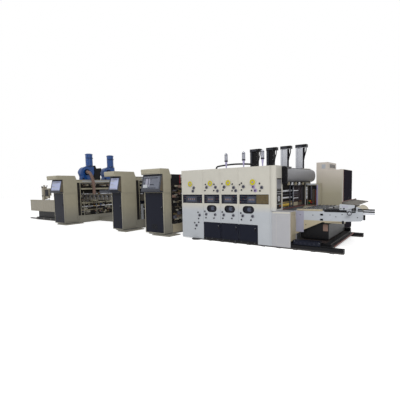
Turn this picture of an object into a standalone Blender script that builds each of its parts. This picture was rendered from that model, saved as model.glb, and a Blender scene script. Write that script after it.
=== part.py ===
"""Flexo folder gluer: a line that prints, slots, folds and glues corrugated board.

The sheet enters at +X and leaves at -X. The operator side is -Y, and +Z is up.
The origin is on the floor, in the middle of the printing section.
All lengths are in metres.
"""

import math

import bmesh
import bpy
from mathutils import Matrix, Vector

# Clearances
SEAT = 0.0003
RUN = 0.006

# Floor rails
RAIL_LEFT = -1.31
RAIL_RIGHT = 3.20
RAIL_OUTER = 1.47
RAIL_WIDTH = 0.14
RAIL_HEIGHT = 0.12
TIE_WIDTH = 0.16
TIE_HEIGHT = 0.06
PAD_RADIUS = 0.16
PAD_HEIGHT = 0.034

# Printing section
BLOCK_LEFT = -1.71
UNIT_WIDTHS = (0.86, 0.64, 0.61, 0.97)
RIDGE_WIDTH = 0.17
RIDGE_RISE = 0.03
BLOCK_TOP = 2.20
SIDE_FACE = 1.50
SIDE_DEPTH = 0.46
SKIRT_FOOT = 0.04
SKIRT_THICK = 0.025
SEAM = 0.008

# Access doors of the printing units
DOOR_TOP = 0.57
DOOR_FOOT = 0.10
DOOR_THICK = 0.024
LAST_DOOR_WIDTH = 0.61
CAVITY_DEPTH = 0.30
CAVITY_WEB = 0.03
CAVITY_FOOT = 0.16
PIN_RADIUS = 0.006
PIN_REACH = 0.016

# Recesses and dials of the printing units
STRIP_FOOT = 1.16
STRIP_TOP = 1.43
STRIP_MARGIN = 0.035
STRIP_DEPTH = 0.012
OVAL_HEIGHT = 1.00
OVAL_LENGTH = 0.35
OVAL_RADIUS = 0.10
OVAL_OFFSET = 0.32
OVAL_DEPTH = 0.03
END_WINDOW = (1.03, 1.86)
END_WINDOW_MARGIN = 0.05
END_WINDOW_DEPTH = 0.03
DIAL_OFFSETS = (0.37, 0.29, 0.29, 0.47)
DIAL_HEIGHT = 1.77
DIAL_RADIUS = 0.085
DIAL_RIM = 0.018
DIAL_RISE = 0.03

# Rolls and top frame between the side housings
ROLL_RADIUS = 0.19
ROLL_HEIGHT = 1.05
ROLL_SHOULDER = 0.06
JOURNAL_RADIUS = 0.05
TOP_TIE = 0.07
TOP_TIE_DROP = 0.06

# Lift columns on the far housing
COLUMN_WIDTHS = (0.28, 0.26, 0.24, 0.24)
COLUMN_LEFTS = (-0.56, 0.09, 0.62, 1.15)
COLUMN_Y = 1.20
COLUMN_DEPTH = 0.16
COLUMN_HEIGHT = 0.80
COLUMN_LIP = 0.05
COLUMN_GROOVE = 0.03
HEAD_HEIGHT = 0.10
HEAD_REACH = 0.12
CABLE_RADIUS = 0.016

# Signal lamps and the arched hose
LAMP_XS = (-0.11, 0.48, 1.07)
LAMP_Y = -1.30
LAMP_STEM = 0.20
LAMP_HEIGHT = 0.26
LAMP_RADIUS = 0.045
LAMP_COLLAR = 0.03
HOSE_RADIUS = 0.024
HOSE_Y = -1.15
HOSE_ENDS = (-0.56, 0.72)
HOSE_RISE = 0.125

# Cross beam over the mouth, between the block's two housings
BEAM_X = 1.60
BEAM_HEIGHT = 1.96
BEAM_RADIUS = 0.19
BEAM_BULGE = 0.10
BEAM_BOX = (0.36, 0.12, 0.03)
BRACKET_THICK = 0.06
BRACKET_WIDTH = 0.15
BRACKET_ROUND = 0.06
BRACKET_MARGIN = 0.035

# Guard, feed rolls and brush in the mouth
MOUTH_INSET = 0.045
FEED_ROLL_RADIUS = 0.028
FEED_ROLL_ZS = (1.30, 1.50)
GUARD_BAR = 0.03
GUARD_FOOT = 1.002
GUARD_GAP = 0.03
GUARD_POST_Y = -0.35
PANE_LEFT = -0.10
PANE_RIGHT = 0.72
PANE_THICK = 0.010
BRUSH_HEIGHT = 1.11
BRUSH_WIDTH = 0.07
BRUSH_DROP = 0.12

# Feed unit, which rolls on the rails
CARRIAGE_LEFT = 1.43
CARRIAGE_RIGHT = 2.87
CARRIAGE_TOP = 0.20
CARRIAGE_THICK = 0.10
CARRIAGE_EDGE = 1.28
STEP_WIDTH = 0.08
STEP_HEIGHT = 0.03
WHEEL_RADIUS = 0.035
WHEEL_INSET = 0.25
SHOE_REACH = 0.15
SHOE_THICK = 0.022
DRIVE_BOX = (1.98, 2.66, 0.245)
KERB_LEFT = 2.28
KERB_WIDTH = 0.15
KERB_HEIGHT = 0.09
FEED_BOX_LEFT = 1.422
FEED_BOX_RIGHT = 1.93
FEED_BOX_TOP = 0.98
FRONT_LAP = 0.02
FEED_BOX_BACK = 1.00
FAR_FRAME_TOP = 1.70
FAR_FRAME_BACK = 1.46
FAR_WINDOW = (1.00, 1.64)
FAR_WINDOW_MARGIN = 0.05
FAR_WINDOW_DEPTH = 0.06
FAR_FOOT_RIGHT = 2.24
FAR_FOOT_TOP = 0.46

# Infeed table between two side plates
FRAME_Y = 1.10
FRAME_THICK = 0.05
FRAME_FOOT = 0.36
FRAME_KNEE_X = 2.61
FRAME_KNEE = 0.71
FRAME_TOE = ((0.10, 0.025), (0.33, 0.13))
FRAME_CUT = 0.04
FRAME_END = 0.77
TABLE_RIGHT = 3.54
FAR_PLATE_RIGHT = 3.24
TABLE_TOP = 1.00
TABLE_THICK = 0.03
DECK_RIGHT = 3.40
SLOT_X = 2.595
SLOT_SIZE = (0.075, 0.05)
SLOT_ZS = (0.90, 0.77)
TIE_BAR = 0.03
COVER_RADIUS = 0.155
COVER_FOOT = 0.96
COVER_FAR = -0.20
END_BAR_REACH = 0.24
END_BAR_ZS = (0.935, 0.985, 1.035)
UNDER_BOX = (2.66, 3.12, 0.69, 0.80)
LOADER_LEFT = 3.04
LOADER_RIGHT = 3.38
LOADER_BACK = 1.19
LOADER_FRONT = 1.15
LOADER_THICK = 0.018
LOADER_LIP = 0.03
LOADER_EDGE = 0.96
LOADER_LEG_Y = 0.55
RAIL_BARS = (2.62, 3.18)
RAIL_BAR_WIDTH = 0.04
RAIL_BAR_HEIGHT = 0.04
RAIL_BAR_YS = (-1.075, -0.75)
GUIDE_LEFT = 3.03
GUIDE_RIGHT = 3.36
GUIDE_FOOT = 1.035
GUIDE_TOP = 1.18
GUIDE_THICK = 0.05
HANDWHEEL_X = 3.26
HANDWHEEL_Z = 0.965
HANDWHEEL_RADIUS = 0.056
HANDWHEEL_RIM = 0.011
SHAFT_RADIUS = 0.014
SHAFT_LENGTH = 0.045

# Drive cabinet behind the far rail
CABINET_LEFT = 1.72
CABINET_RIGHT = 2.58
CABINET_NEAR = 1.52
CABINET_FAR = 2.94
CABINET_TOP = 2.14
CABINET_PLINTH = 0.10
PLINTH_INSET = 0.02
ROOF_THICK = 0.03
TOP_BOX_WIDTH = 0.38
TOP_BOX_FAR = 2.67
TOP_BOX_TOP = 2.40
CABLE_DUCT = (0.14, 0.12, 1.30, 1.50)

# Folding modules and their consoles: left, right, near edge, canopy reach
MODULES = {
    "1": (-9.96, -9.05, 0.79, 0.30),
    "2": (-5.40, -4.78, 0.76, 0.32),
    "3": (-3.49, -2.55, 1.11, 0.14),
}
CONSOLE_FACE = 1.50
CONSOLE_FOOT = 0.05
CONSOLE_TOP = 2.33
CANOPY_DEPTH = 0.19
CANOPY_ROUND = 0.04
SCREEN_FOOT = 1.57
SCREEN_LIP = 0.17
SCREEN_MARGIN = 0.05
SCREEN_DEPTH = 0.008
SHELF_REACH = 0.58
SHELF_HEIGHT = 0.10
SHELF_ROUND = 0.06
CONSOLE_DOOR_FOOT = 0.09
CONSOLE_DOOR_TOP = 1.49
CONSOLE_WALL = 0.03
PORTAL_TOP = 2.14
PORTAL_FAR = 1.62
POST_WIDTH = 0.18
PORTAL_BEAM = 0.14
PORTAL_SILL = 0.36
PLATE_THICK = 0.03
PLATE_REACH = 0.16
CROSS_SHAFTS = ((1.86, 0.030), (1.68, 0.050), (0.98, 0.055), (0.60, 0.025))
SHAFT_INSET = 0.12
PULLEY_YS = (-0.30, 0.05, 0.40, 0.90)
PULLEY_RADIUS = 0.085
PULLEY_WIDTH = 0.05
REST_HEIGHT = 0.10

# Folding arms between the modules
ARM_Y = 0.48
ARM_WIDTH = 0.10
ARM_HEIGHT = 0.24
ARM_CENTRE = 1.28
ARM_FLANGE = 0.035
OUTLET_TIE = 0.08
ARM_WEB = 0.04
SILL_Y = 0.46
SILL_WIDTH = 0.16
SILL_HEIGHT = 0.22

# Suction fans on the first module, with their stand and hose
FAN_YS = (-0.15, 1.145)
FAN_INNER = 0.27
FAN_OUTER = 0.42
FAN_CENTRE = 0.385
FAN_WIDTH = 0.26
FAN_INSET = 0.10
FAN_PIPE_RADIUS = 0.175
FAN_TOP = 3.48
FAN_FLANGE = 0.02
FAN_EYE = 0.13
FAN_MOTOR_RADIUS = 0.17
FAN_MOTOR_LENGTH = 0.32
STAND_YS = (0.30, 0.70)
STAND_TOP = 0.74
FAN_HOSE_RADIUS = 0.08
FAN_HOSE_OUT = 0.12
NOZZLE_Y = 0.07
NOZZLE_TOP = 1.36
NOZZLE_SIZE = 0.24

# Counter ejector at the delivery end
EJECTOR_LEFT = -13.60
EJECTOR_RIGHT = -10.60
EJECTOR_NEAR = 1.00
EJECTOR_BOX = (0.50, 1.13)
EJECTOR_WALL = 0.05
EJECTOR_BED = 0.30
EJECTOR_ROLL = 0.04
EJECTOR_ROLLS = 9
EJECTOR_RAIL_LEFT = -14.20
EJECTOR_RAIL_HEIGHT = 0.06
EJECTOR_POST = (-12.20, -12.00)
EJECTOR_HEAD = (-11.95, -11.50)
EJECTOR_HEAD_TOP = 1.85

COLOURS = {
    "cream": ((0.75, 0.74, 0.70), 0.35, 0.0),
    "navy": ((0.020, 0.025, 0.035), 0.40, 0.0),
    "black": ((0.02, 0.02, 0.02), 0.50, 0.0),
    "steel": ((0.62, 0.63, 0.66), 0.30, 1.0),
    "grey": ((0.45, 0.46, 0.48), 0.45, 0.0),
    "blue": ((0.0, 0.10, 0.30), 0.35, 0.0),
    "clear": ((0.85, 0.87, 0.92), 0.10, 0.0),
    "rubber": ((0.03, 0.03, 0.03), 0.70, 0.0),
    "brass": ((0.70, 0.52, 0.20), 0.40, 1.0),
}


def clear_scene():
    for obj in list(bpy.data.objects):
        bpy.data.objects.remove(obj, do_unlink=True)


def material(name):
    """One Principled material for each finish."""
    if name in bpy.data.materials:
        return bpy.data.materials[name]
    colour, roughness, metallic = COLOURS[name]
    mat = bpy.data.materials.new(name)
    mat.use_nodes = True
    shader = mat.node_tree.nodes["Principled BSDF"]
    shader.inputs["Base Color"].default_value = (*colour, 1.0)
    shader.inputs["Roughness"].default_value = roughness
    shader.inputs["Metallic"].default_value = metallic
    return mat


def solid(name, bm):
    """Turns a bmesh into an object with its faces pointing out."""
    bmesh.ops.recalc_face_normals(bm, faces=bm.faces)
    mesh = bpy.data.meshes.new(name)
    bm.to_mesh(mesh)
    bm.free()
    obj = bpy.data.objects.new(name, mesh)
    bpy.context.scene.collection.objects.link(obj)
    return obj


def axis_places(axis):
    """Which coordinates an outline's two values are, and which one runs along the axis."""
    return {"X": (1, 2, 0), "Y": (0, 2, 1), "Z": (0, 1, 2)}[axis]


def prism(outline, axis, low, high):
    """Extrudes a flat outline along an axis, from low to high."""
    first, second, third = axis_places(axis)
    bm = bmesh.new()
    verts = []
    for u, v in outline:
        point = [0.0, 0.0, 0.0]
        point[first] = u
        point[second] = v
        point[third] = low
        verts.append(bm.verts.new(point))
    face = bm.faces.new(verts)
    grown = bmesh.ops.extrude_face_region(bm, geom=[face])
    step = Vector((0.0, 0.0, 0.0))
    step[third] = high - low
    moved = [item for item in grown["geom"] if isinstance(item, bmesh.types.BMVert)]
    bmesh.ops.translate(bm, verts=moved, vec=step)
    return solid("prism", bm)


def box(x, y, z):
    """A box from three (low, high) pairs."""
    return prism([(x[0], y[0]), (x[1], y[0]), (x[1], y[1]), (x[0], y[1])], "Z", z[0], z[1])


def arc(centre, radius, start, end, steps):
    """Points along an arc, in degrees."""
    points = []
    for i in range(steps + 1):
        angle = math.radians(start + (end - start) * i / steps)
        points.append((centre[0] + radius * math.cos(angle), centre[1] + radius * math.sin(angle)))
    return points


def rod(axis, centre, radius, low, high, sides=16):
    """A round bar along an axis; centre gives its other two coordinates."""
    return prism(arc(centre, radius, 0, 360 - 360 / sides, sides - 1), axis, low, high)


def turned(axis, centre, stations, sides=20):
    """A turned bar: stations are (place along the axis, radius) pairs."""
    first, second, third = axis_places(axis)
    bm = bmesh.new()
    rings = []
    for place, radius in stations:
        ring = []
        for u, v in arc(centre, radius, 0, 360 - 360 / sides, sides - 1):
            point = [0.0, 0.0, 0.0]
            point[first] = u
            point[second] = v
            point[third] = place
            ring.append(bm.verts.new(point))
        rings.append(ring)
    for lower, upper in zip(rings, rings[1:]):
        for i in range(sides):
            j = (i + 1) % sides
            bm.faces.new((lower[i], lower[j], upper[j], upper[i]))
    bm.faces.new(rings[0])
    bm.faces.new(rings[-1])
    return solid("turned", bm)


def torus(centre, ring, tube_radius, sides=20, tube_sides=8):
    """A round rim about the Y axis."""
    bm = bmesh.new()
    loops = []
    for i in range(sides):
        turn = 2 * math.pi * i / sides
        loop = []
        for across, along in arc((ring, 0.0), tube_radius, 0, 360 - 360 / tube_sides, tube_sides - 1):
            loop.append(bm.verts.new((centre[0] + across * math.cos(turn), centre[1] + along,
                                      centre[2] + across * math.sin(turn))))
        loops.append(loop)
    for i in range(sides):
        here, ahead = loops[i], loops[(i + 1) % sides]
        for k in range(tube_sides):
            m = (k + 1) % tube_sides
            bm.faces.new((here[k], here[m], ahead[m], ahead[k]))
    return solid("torus", bm)


def smooth_route(points, steps):
    """Points along a smooth curve through the route's own points."""
    route = [Vector(p) for p in points]
    ends = [route[0] * 2 - route[1]] + route + [route[-1] * 2 - route[-2]]
    result = []
    for i in range(1, len(ends) - 2):
        a, b, c, d = ends[i - 1:i + 3]
        for k in range(steps):
            t = k / steps
            result.append(0.5 * (2 * b + (c - a) * t + (2 * a - 5 * b + 4 * c - d) * t ** 2
                                 + (3 * b - a - 3 * c + d) * t ** 3))
    result.append(route[-1])
    return result


def tube(points, radius, sides=10, steps=8):
    """A round tube along a smooth route, closed at both ends."""
    route = smooth_route(points, steps)
    bm = bmesh.new()
    rings = []
    side = None
    for i, place in enumerate(route):
        ahead = route[min(i + 1, len(route) - 1)] - route[max(i - 1, 0)]
        if i == 0:
            ahead = Vector(points[1]) - Vector(points[0])
        if i == len(route) - 1:
            ahead = Vector(points[-1]) - Vector(points[-2])
        ahead.normalize()
        if side is None:
            side = ahead.orthogonal()
        side = (side - ahead * side.dot(ahead)).normalized()
        other = ahead.cross(side)
        ring = []
        for k in range(sides):
            angle = 2 * math.pi * k / sides
            ring.append(bm.verts.new(place + radius * (side * math.cos(angle) + other * math.sin(angle))))
        rings.append(ring)
    for lower, upper in zip(rings, rings[1:]):
        for i in range(sides):
            j = (i + 1) % sides
            bm.faces.new((lower[i], lower[j], upper[j], upper[i]))
    bm.faces.new(rings[0])
    bm.faces.new(rings[-1])
    return solid("tube", bm)


def node(name, finish, solids, cuts=()):
    """Joins solids by union, takes the cuts away, and names the result."""
    body = solids[0]
    steps = [(tool, "UNION") for tool in solids[1:]] + [(tool, "DIFFERENCE") for tool in cuts]
    for tool, operation in steps:
        change = body.modifiers.new(operation.lower(), "BOOLEAN")
        change.operation = operation
        change.solver = "EXACT"
        change.object = tool
    if steps:
        graph = bpy.context.evaluated_depsgraph_get()
        graph.update()
        mesh = bpy.data.meshes.new_from_object(body.evaluated_get(graph))
        body.modifiers.clear()
        body.data = mesh
        for tool, operation in steps:
            bpy.data.objects.remove(tool, do_unlink=True)
    body.name = name
    body.data.name = name
    body.data.materials.clear()
    body.data.materials.append(material(finish))
    return body


def round_shade(obj):
    obj.data.shade_smooth()
    obj.data.set_sharp_from_angle(angle=math.radians(35))
    return obj


def centre_on(obj, place):
    """Puts an object's origin at a place, with its solid where it was."""
    obj.data.transform(Matrix.Translation(-Vector(place)))
    obj.location = place
    return obj


UNIT_EDGES = [BLOCK_LEFT + sum(UNIT_WIDTHS[:i]) for i in range(len(UNIT_WIDTHS) + 1)]
BLOCK_RIGHT = UNIT_EDGES[-1] + RIDGE_WIDTH
SIDE_BACK = SIDE_FACE - SIDE_DEPTH
DOOR_EDGES = UNIT_EDGES[1:4] + [UNIT_EDGES[3] + LAST_DOOR_WIDTH]
HOUSING_FOOT = RAIL_HEIGHT + SEAT
RECESS = DOOR_THICK + RUN


def floor_rails():
    """Two rails with ties, and a round levelling pad at the near rail's left end."""
    inner = RAIL_OUTER - RAIL_WIDTH
    pieces = [box((RAIL_LEFT, RAIL_RIGHT), (-RAIL_OUTER, -inner), (0, RAIL_HEIGHT)),
              box((RAIL_LEFT, RAIL_RIGHT), (inner, RAIL_OUTER), (0, RAIL_HEIGHT))]
    reach = inner + RAIL_WIDTH / 2
    for x in (RAIL_LEFT + TIE_WIDTH, 0.0, BLOCK_RIGHT + TIE_WIDTH):
        pieces.append(box((x - TIE_WIDTH / 2, x + TIE_WIDTH / 2), (-reach, reach), (0, TIE_HEIGHT)))
    pieces.append(rod("Z", (RAIL_LEFT + TIE_WIDTH, -RAIL_OUTER), PAD_RADIUS, 0, PAD_HEIGHT, 24))
    return node("floor_rails", "black", pieces)


def hinge_pin(x, y, low, high):
    return rod("Z", (x, y), PIN_RADIUS, low, high, 12)


def hinged_door(name, left, right, face, foot, top):
    """A leaf that turns about a pin inside its round left edge."""
    axis_x = left + RUN + DOOR_THICK / 2
    axis_y = -face + DOOR_THICK / 2
    low, high = axis_y - DOOR_THICK / 2, axis_y + DOOR_THICK / 2
    outline = arc((axis_x, axis_y), DOOR_THICK / 2, 90, 270, 6)
    outline += [(right - RUN, low), (right - RUN, high)]
    leaf = prism(outline, "Z", foot + RUN, top - RUN)
    pin = hinge_pin(axis_x, axis_y, foot - PIN_REACH + SEAT, top + PIN_REACH - SEAT)
    door = node(name, "navy", [leaf, pin])
    return centre_on(door, (axis_x, axis_y, 0))


def pin_socket(left, face, low, high):
    """The bore that a door's pin turns in."""
    centre = (left + RUN + DOOR_THICK / 2, -face + DOOR_THICK / 2)
    return rod("Z", centre, PIN_RADIUS + SEAT, low, high, 12)


def side_shell(sign):
    """A side housing's outer form: it steps up over the feed box at its right end."""
    outline = [(BLOCK_LEFT, HOUSING_FOOT), (FEED_BOX_LEFT - RUN, HOUSING_FOOT),
               (FEED_BOX_LEFT - RUN, FEED_BOX_TOP + RUN), (BLOCK_RIGHT, FEED_BOX_TOP + RUN),
               (BLOCK_RIGHT, BLOCK_TOP), (BLOCK_LEFT, BLOCK_TOP)]
    low, high = sorted((sign * SIDE_FACE, sign * SIDE_BACK))
    return prism(outline, "Y", low, high)


def seams(sign):
    """Grooves where one unit's panel meets the next."""
    cuts = []
    for x in UNIT_EDGES[1:]:
        low, high = sorted((sign * (SIDE_FACE + SEAM), sign * (SIDE_FACE - SEAM)))
        cuts.append(box((x - SEAM / 2, x + SEAM / 2), (low, high), (SKIRT_FOOT - SEAM, BLOCK_TOP + SEAM)))
    return cuts


def corner_ridge():
    """The rounded rib down the near housing's right-hand corner."""
    half = RIDGE_WIDTH / 2 - SEAM
    radius = (half ** 2 + RIDGE_RISE ** 2) / (2 * RIDGE_RISE)
    centre = (BLOCK_RIGHT - RIDGE_WIDTH / 2, radius - RIDGE_RISE - SIDE_FACE)
    spread = math.degrees(math.asin(half / radius))
    outline = arc(centre, radius, -90 - spread, -90 + spread, 10)
    outline += [(outline[-1][0], -SIDE_FACE + SKIRT_THICK), (outline[0][0], -SIDE_FACE + SKIRT_THICK)]
    return prism(outline, "Z", FEED_BOX_TOP + RUN + SEAM, BLOCK_TOP - SEAM)


def near_housing():
    """Operator side: control recesses, oval recesses, dials and the door pockets."""
    front = -SIDE_FACE
    pieces = [side_shell(-1), corner_ridge()]
    skirts = [(BLOCK_LEFT, DOOR_EDGES[0]), (DOOR_EDGES[-1], FEED_BOX_LEFT - RUN)]
    for left, right in skirts:
        pieces.append(box((left, right), (front, front + SKIRT_THICK), (SKIRT_FOOT, HOUSING_FOOT * 2)))
    cuts = seams(-1)
    for left, offset in zip(UNIT_EDGES, DIAL_OFFSETS):
        dial = (left + offset, DIAL_HEIGHT)
        pieces.append(rod("Y", dial, DIAL_RADIUS, front - DIAL_RISE, front + DIAL_RIM, 24))
        cuts.append(rod("Y", dial, DIAL_RADIUS - DIAL_RIM, front - DIAL_RISE * 2, front - DIAL_RISE / 3, 24))
    for left, right in zip(UNIT_EDGES, UNIT_EDGES[1:]):
        cuts.append(box((left + STRIP_MARGIN, right - STRIP_MARGIN),
                        (front - STRIP_DEPTH, front + STRIP_DEPTH), (STRIP_FOOT, STRIP_TOP)))
    for left in UNIT_EDGES[1:4]:
        centre = left + OVAL_OFFSET
        reach = OVAL_LENGTH / 2 - OVAL_RADIUS
        outline = arc((centre + reach, OVAL_HEIGHT), OVAL_RADIUS, -90, 90, 10)
        outline += arc((centre - reach, OVAL_HEIGHT), OVAL_RADIUS, 90, 270, 10)
        cuts.append(prism(outline, "Y", front - OVAL_DEPTH, front + OVAL_DEPTH))
    margin = END_WINDOW_MARGIN
    cuts.append(box((BLOCK_RIGHT - END_WINDOW_DEPTH, BLOCK_RIGHT + END_WINDOW_DEPTH),
                    (front + margin, -SIDE_BACK - margin), END_WINDOW))
    cuts.append(box((DOOR_EDGES[0], DOOR_EDGES[-1]), (front - RECESS, front + RECESS),
                    (SKIRT_FOOT, DOOR_TOP)))
    for left, right in zip(DOOR_EDGES, DOOR_EDGES[1:]):
        cuts.append(box((left + CAVITY_WEB, right - CAVITY_WEB), (front - RECESS, front + CAVITY_DEPTH),
                        (CAVITY_FOOT, DOOR_TOP - CAVITY_WEB)))
        cuts.append(pin_socket(left, SIDE_FACE, DOOR_TOP - RUN, DOOR_TOP + PIN_REACH))
    return node("near_side_housing", "cream", pieces, cuts)


def far_housing():
    """Drive side: the same panels without doors."""
    back = box((BLOCK_LEFT, FEED_BOX_LEFT - RUN), (SIDE_FACE - SKIRT_THICK, SIDE_FACE),
               (SKIRT_FOOT, HOUSING_FOOT * 2))
    return node("far_side_housing", "cream", [side_shell(1), back], seams(1))


def kick_plate():
    """The dark strip under the access doors, which carries their lower pins."""
    front = -SIDE_FACE
    plate = box((DOOR_EDGES[0] + SEAT, DOOR_EDGES[-1] - SEAT), (front, -RAIL_OUTER - SEAT),
                (SKIRT_FOOT, DOOR_FOOT))
    cuts = [pin_socket(left, SIDE_FACE, DOOR_FOOT - PIN_REACH, DOOR_FOOT + RUN) for left in DOOR_EDGES[:3]]
    return node("door_kick_plate", "black", [plate], cuts)


def access_doors():
    for i, (left, right) in enumerate(zip(DOOR_EDGES, DOOR_EDGES[1:])):
        hinged_door(f"access_door_{i + 2}", left, right, SIDE_FACE, DOOR_FOOT, DOOR_TOP)


def print_rolls():
    """One large roll in each unit, with stepped journals between the side housings."""
    end = SIDE_BACK - SEAT
    face = end - ROLL_SHOULDER
    stations = [(-end, JOURNAL_RADIUS), (-face, JOURNAL_RADIUS), (-face, ROLL_RADIUS),
                (face, ROLL_RADIUS), (face, JOURNAL_RADIUS), (end, JOURNAL_RADIUS)]
    for i, (left, right) in enumerate(zip(UNIT_EDGES, UNIT_EDGES[1:])):
        roll = turned("Y", ((left + right) / 2, ROLL_HEIGHT), stations)
        round_shade(node(f"print_roll_{i + 1}", "steel", [roll]))


def top_frame():
    """Ties at each joint between units, held by a long bar along each side housing."""
    end = SIDE_BACK - SEAT
    low, high = BLOCK_TOP - TOP_TIE_DROP - TOP_TIE, BLOCK_TOP - TOP_TIE_DROP
    last = BLOCK_RIGHT - TOP_TIE
    pieces = [box((BLOCK_LEFT, last), (-end, -end + TOP_TIE), (low, high)),
              box((BLOCK_LEFT, last), (end - TOP_TIE, end), (low, high))]
    for x in [BLOCK_LEFT + TOP_TIE / 2] + UNIT_EDGES[1:4] + [last - TOP_TIE / 2]:
        pieces.append(box((x - TOP_TIE / 2, x + TOP_TIE / 2), (TOP_TIE / 2 - end, end - TOP_TIE / 2),
                          (low, high)))
    return node("top_frame", "grey", pieces)


def lift_columns():
    """Four grooved columns on the far housing, each with a head box and two hanging leads."""
    foot = BLOCK_TOP + SEAT
    top = foot + COLUMN_HEIGHT
    near, far = COLUMN_Y - COLUMN_DEPTH / 2, COLUMN_Y + COLUMN_DEPTH / 2
    for i, (left, width) in enumerate(zip(COLUMN_LEFTS, COLUMN_WIDTHS)):
        right = left + width
        groove = near + COLUMN_GROOVE
        outline = [(left, near), (left + COLUMN_LIP, near), (left + COLUMN_LIP, groove),
                   (right - COLUMN_LIP, groove), (right - COLUMN_LIP, near), (right, near),
                   (right, far), (left, far)]
        column = prism(outline, "Z", foot, top)
        head = box((left - SEAM, right + HEAD_REACH), (near - SEAM, far + SEAM),
                   (top - HEAD_HEIGHT, top + SEAM))
        pieces = [column, head]
        for share in (0.7, 0.25):
            x = right + HEAD_REACH * share
            pieces.append(tube([(x, COLUMN_Y, top - HEAD_HEIGHT / 2), (x, COLUMN_Y, top - HEAD_HEIGHT * 2),
                                (right + HEAD_REACH * 0.25, COLUMN_Y, top - HEAD_HEIGHT * 4),
                                (right - CABLE_RADIUS, COLUMN_Y, top - HEAD_HEIGHT * 6)], CABLE_RADIUS, 7, 4))
        node(f"lift_column_{i + 1}", "steel", pieces)


def signal_lamps():
    """A stem, a dark collar and a domed lens, turned in one piece."""
    foot = BLOCK_TOP + SEAT
    collar = foot + LAMP_STEM
    dome = collar + LAMP_HEIGHT - LAMP_RADIUS
    wide = LAMP_RADIUS * 1.15
    stations = [(foot, LAMP_RADIUS * 0.4), (collar, LAMP_RADIUS * 0.4), (collar, wide),
                (collar + LAMP_COLLAR, wide), (collar + LAMP_COLLAR, LAMP_RADIUS), (dome, LAMP_RADIUS)]
    for angle in (30, 60, 80):
        height = dome + LAMP_RADIUS * math.sin(math.radians(angle))
        stations.append((height, LAMP_RADIUS * math.cos(math.radians(angle))))
    for i, x in enumerate(LAMP_XS):
        round_shade(node(f"signal_lamp_{i + 1}", "clear", [turned("Z", (x, LAMP_Y), stations, 14)]))


def top_hose():
    """The black hose that arches over the near housing's top."""
    start = BLOCK_TOP + SEAT
    left, right = HOSE_ENDS
    bend = HOSE_RADIUS * 4
    middle = (left + right) / 2
    side = start + HOSE_RISE * 0.75
    hose = tube([(left, HOSE_Y, start), (left, HOSE_Y, start + HOSE_RADIUS * 2), (left + bend, HOSE_Y, side),
                 (middle, HOSE_Y, start + HOSE_RISE), (right - bend, HOSE_Y, side),
                 (right, HOSE_Y, start + HOSE_RADIUS * 2), (right, HOSE_Y, start)], HOSE_RADIUS, 8, 5)
    round_shade(node("top_hose", "rubber", [hose]))


def cross_beam():
    """The shallow rounded cover from the near bracket to the far housing."""
    back = BLOCK_RIGHT + SEAT
    start, end = -SIDE_BACK + SEAT, SIDE_FACE - SEAT
    share = BEAM_BULGE / BEAM_RADIUS
    outline = [(BEAM_X + (x - BEAM_X) * share, z)
               for x, z in arc((BEAM_X, BEAM_HEIGHT), BEAM_RADIUS, -90, 90, 14)]
    outline += [(back, BEAM_HEIGHT + BEAM_RADIUS), (back, BEAM_HEIGHT - BEAM_RADIUS)]
    length, width, height = BEAM_BOX
    top = BEAM_HEIGHT + BEAM_RADIUS
    lid = box((back, back + width), (start, start + length), (top - SEAM, top + height))
    round_shade(node("cross_beam", "grey", [prism(outline, "Y", start, end), lid]))


def beam_bracket():
    """The black plate on the near end wall, which carries the beam's near end."""
    reach = BEAM_RADIUS + BRACKET_MARGIN
    face = BLOCK_RIGHT + SEAT
    low, high = BEAM_HEIGHT - reach - BRACKET_MARGIN, BEAM_HEIGHT + reach
    corner = (face + BRACKET_WIDTH - BRACKET_ROUND, high - BRACKET_ROUND)
    outline = [(face, high), (face, low), (face + BRACKET_WIDTH, low)]
    outline += arc(corner, BRACKET_ROUND, 0, 90, 6)
    node("beam_bracket", "black", [prism(outline, "Y", -SIDE_BACK - BRACKET_THICK, -SIDE_BACK)])


def feed_rolls():
    """Two slim rolls in the mouth where the sheet enters."""
    end = SIDE_BACK - SEAT
    for i, z in enumerate(FEED_ROLL_ZS):
        roll = rod("Y", (BLOCK_RIGHT - MOUTH_INSET - GUARD_BAR * 2, z), FEED_ROLL_RADIUS, -end, end, 16)
        round_shade(node(f"feed_roll_{i + 1}", "steel", [roll]))


def feed_brush():
    """The brush row under the feed rolls: a holder with a tapered row of bristles."""
    end = SIDE_BACK - SEAT
    x = BLOCK_RIGHT - MOUTH_INSET - GUARD_BAR * 2
    half = BRUSH_WIDTH / 2
    low, high = BRUSH_HEIGHT - BRUSH_DROP / 2, BRUSH_HEIGHT + BRUSH_DROP / 2
    outline = [(x - half / 3, low), (x + half / 3, low), (x + half * 0.7, high - half),
               (x + half, high - half), (x + half, high), (x - half, high), (x - half, high - half),
               (x - half * 0.7, high - half)]
    node("feed_brush", "brass", [prism(outline, "Y", -end, end)])


def feed_guard():
    """The guard across the mouth: two rails, three posts, a slim bar and a pane."""
    end = SIDE_BACK - SEAT
    x = BLOCK_RIGHT - MOUTH_INSET
    low = GUARD_FOOT
    high = BEAM_HEIGHT - BEAM_RADIUS - GUARD_GAP
    bar = GUARD_BAR
    pieces = [box((x - bar / 2, x + bar / 2), (-end, end), (low - bar / 2, low + bar / 2)),
              box((x - bar / 2, x + bar / 2), (-end, end), (high - bar, high))]
    for y in (GUARD_POST_Y, PANE_LEFT, PANE_RIGHT):
        pieces.append(box((x - bar / 2, x + bar / 2), (y - bar / 2, y + bar / 2), (low, high - bar / 2)))
    half = PANE_THICK / 2
    pieces.append(box((x - half, x + half), (PANE_LEFT, PANE_RIGHT), (low, high - bar / 2)))
    middle = sum(FEED_ROLL_ZS) / len(FEED_ROLL_ZS)
    pieces.append(rod("Y", (x, middle), bar * 0.4, -end, PANE_LEFT, 10))
    node("feed_guard_frame", "grey", pieces)


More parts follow.
